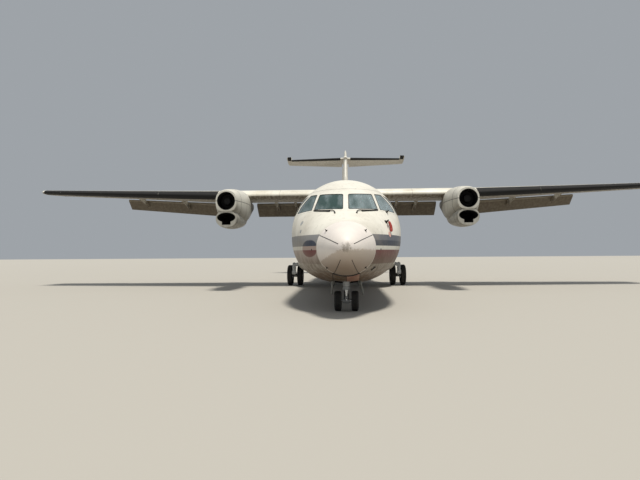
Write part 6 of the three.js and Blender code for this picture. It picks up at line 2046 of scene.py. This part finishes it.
print("softening a half turn", softened(-0.5, 0.32).round(2))

# %% Flight deck seats
SEAT_X = 450
PAD_TURN = np.pi / 2 - np.arctan2(150, 690)
NO_CHANNEL = (2,)
ARM_REST = [(228, 3080, 1900), (228, 2960, 1905), (228, 2780, 1900), (226, 2740, 1880)]
for side, label in BOTH_SIDES:
    x = side * SEAT_X
    seat_pan = cushion(f"seat_pan_pad_{label}", (x, 2800, 1676), (440, 470, 116))
    seat_back = cushion(f"seat_back_pad_{label}", (x, 3085, 2010), (420, 610, 120), PAD_TURN)
    head_rest = cushion(f"head_rest_pad_{label}", (x, 3158, 2392), (250, 160, 92), PAD_TURN, NO_CHANNEL)
    for pad in (seat_pan, seat_back, head_rest):
        dress(pad, seat_cloth, sharp=80, replaces=[f"pilot_seat_{label}"] if pad == seat_pan else ())
    shell = join(bar(f"seat_shell_{label}", (x, 3100, 1640), (x, 3228, 2280), (1, 0, 0), 430, 26),
                 box("tray", x - 215, x + 215, 2590, 3110, 1606, 1630),
                 box("rail", x - 150, x - 110, 2640, 2960, 1250.6, 1610),
                 box("rail", x + 110, x + 150, 2640, 2960, 1250.6, 1610))
    dress(shell, cockpit_plastic)
    arms = [pipe("arm", np.multiply(ARM_REST, (s, 1, 1)) + [x, 0, 0], 20, 16) for s in (-1, 1)]
    dress(merged(f"seat_arm_rests_{label}", arms), cockpit_plastic)
tell()

# %% [markdown]
# A hood keeps the sun off the instruments, whose screens are flat dark glass in two rows. The
# control columns and their wheels are bent tubes, so they are pipes along a few points.

# %% Panel, hood, control columns and levers
HOOD = Sizes(half_width=565, crown=26, rings=((1805, 2178), (1900, 2181), (2120, 2182), (2175, 2170)))
hood_arc = np.radians(np.linspace(0, 180, 25))
arch = np.stack([HOOD.half_width * np.cos(hood_arc), HOOD.crown * np.sin(hood_arc) ** 0.5], -1)
dress(loft("glareshield", [placed(arch + [0, lift], "y", s) for s, lift in HOOD.rings]), black_paint)
screens = [box("screen", x - 85, x + 85, 2161, 2167, z - 80, z + 80)
           for x in (-500, -300, -100, 100, 300, 500) for z in (2030, 1840)]
dress(merged("instrument_screens", screens), cockpit_screen)
COLUMN = [(0, 2330, 1252), (0, 2350, 1500), (0, 2370, 1750), (0, 2380, 1860)]
YOKE = [(-150, 2395, 1990), (-158, 2392, 1900), (-110, 2388, 1850), (0, 2385, 1856), (110, 2388, 1850),
        (158, 2392, 1900), (150, 2395, 1990)]
for side, label in BOTH_SIDES:
    seat_line = [side * SEAT_X, 0, 0]
    column = pipe(f"control_column_{label}", np.add(COLUMN, seat_line), 24, 20)
    dress(join(column, pipe("wheel", np.add(YOKE, seat_line), 16, 16)), black_paint)
levers = [rod("lever", (x, 2330 + 30 * k, 1849), (x, 2300 + 34 * k, 1960), 9, 15, 16)
          for k, x in enumerate((-90, -50, 0, 50, 90))]
dress(merged("pedestal_levers", levers), bare_alloy)
tell()

# %% [markdown]
# Aerials, lights and wicks break a clean skin into a real one. An aerial is a swept blade with
# a thin aerofoil section, a navigation light is a coloured lens let into the wing's tip, and a
# static wick is a carbon rod that leaks charge from a trailing edge.

# %% Aerials and beacons
AERIAL_SHARES = (-0.08, 0, 0.5, 0.9, 1.0)
BEACON_PROFILE = [(0, 70), (22, 70), (26, 52), (60, 46), (78, 26), (84, 4)]


def blade_aerial(name, station, skin_height, height, chord, sweep):
    """A thin swept aerofoil standing on the skin, from below its surface to its tip."""
    rings = []
    for share in AERIAL_SHARES:
        width = chord * (1 - 0.45 * max(share, 0)) * (1 if share < 1 else 0.8)
        outline = aerofoil(station + sweep * max(share, 0), width, 0.1)
        rings.append(upright(outline, skin_height + height * share))
    return dress(loft(name, rings), part_enamel)


blade_aerial("aerial_top_forward", 4900, 3289, 240, 260, 130)
blade_aerial("aerial_top_middle", 7300, 3289, 210, 240, 110)
blade_aerial("aerial_belly_forward", 5400, 571, -190, 230, 90)
blade_aerial("aerial_belly_rear", 13400, 596, -180, 220, 90)
for name, height, base, way in (("beacon_top", 3290, 6400, 1), ("beacon_belly", 566, 7600, -1)):
    lamp = turned(name, (0, base, height - way * 4), (0, base, height + way * 80), BEACON_PROFILE, 40)
    dress(lamp, red_vinyl, slot="flight_deck_glass")
tell()

# %% Navigation lights and static wicks
LAMP_PROFILE = [(0, 22), (30, 26), (62, 20), (80, 6)]
WICKS = (12050, 12140)
leading, chord, _, tip_height = wing_at(HALF_SPAN - 60)
tail_at = leading + chord
for (side, label), finish in zip(BOTH_SIDES, (port_lens, starboard_lens)):
    lamp = turned(f"navigation_light_{label}", (side * 12200, leading + 30, tip_height),
                  (side * 12268, leading + 78, tip_height), LAMP_PROFILE, 32)
    dress(lamp, finish)
    wicks = [rod("wick", (side * x, tail_at - 20 - (HALF_SPAN - x) * 0.02, tip_height - 6),
                 (side * x, tail_at + 130, tip_height - 16), 4, 2.5, 8) for x in WICKS]
    dress(merged(f"static_wicks_{label}", wicks), black_paint)
tell()

# %% [markdown]
# Inside each nacelle's round hole the shaft ends in a flange, a steel plate with a circle of
# bolts. The plate is a turned profile and each bolt is a six-sided rod.

# %% Shaft flanges
FLANGE_PROFILE = [(0, 84), (3, 110.5), (30, 110.5), (34, 92), (44, 92)]
FLANGE_FRONT, FLANGE_REAR = 7228, 7270
BOLT = Sizes(count=8, circle=92, front=7214, rear=7232, radius=9)
for side, label in BOTH_SIDES:
    x = side * NACELLE.x
    plate = turned(f"propeller_flange_plate_{label}", (x, FLANGE_FRONT, NACELLE.shaft),
                   (x, FLANGE_REAR, NACELLE.shaft), FLANGE_PROFILE, 64)
    pieces = [plate]
    for turn in angles_round(BOLT.count):
        across, rise = BOLT.circle * np.cos(turn), BOLT.circle * np.sin(turn)
        ends = [(x + across, station, NACELLE.shaft + rise) for station in (BOLT.front, BOLT.rear)]
        pieces.append(rod("bolt", *ends, BOLT.radius, sides=6))
    # The flange takes the engine's near-black finish: oil, soot and painted shade.
    dress(merged(plate.name, pieces), engine_soot_and_shade)
tell()

# %% [markdown]
# The frame's own solids that already have the right flat faces keep them, and only get a
# finish: the flaps, ailerons, elevators, rudder, gear legs and flight deck.

# %% Finishes of the frame's own solids
# The flaps, the open nose gear doors and the engine take finishes darkened with painted shade.
NODE_FINISHES = {
    "flap": shaded_flap_enamel, "aileron": wing_enamel, "elevator": tail_enamel, "rudder": tail_enamel,
    "nose_gear_door": shaded_bay_grey, "nose_gear_leg": gear_enamel, "nose_gear_steer": gear_enamel,
    "main_gear_leg": gear_enamel, "hubs": hub_alloy, "tyre": tyre_rubber, "engine": engine_soot_and_shade,
    "instrument_panel": cockpit_plastic, "pilot_seat": seat_cloth,
}
for node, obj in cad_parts.items():
    for part, finish in NODE_FINISHES.items():
        if part in node:
            for slot in obj.material_slots:
                slot.material = finish
print("finished nodes", len(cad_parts))
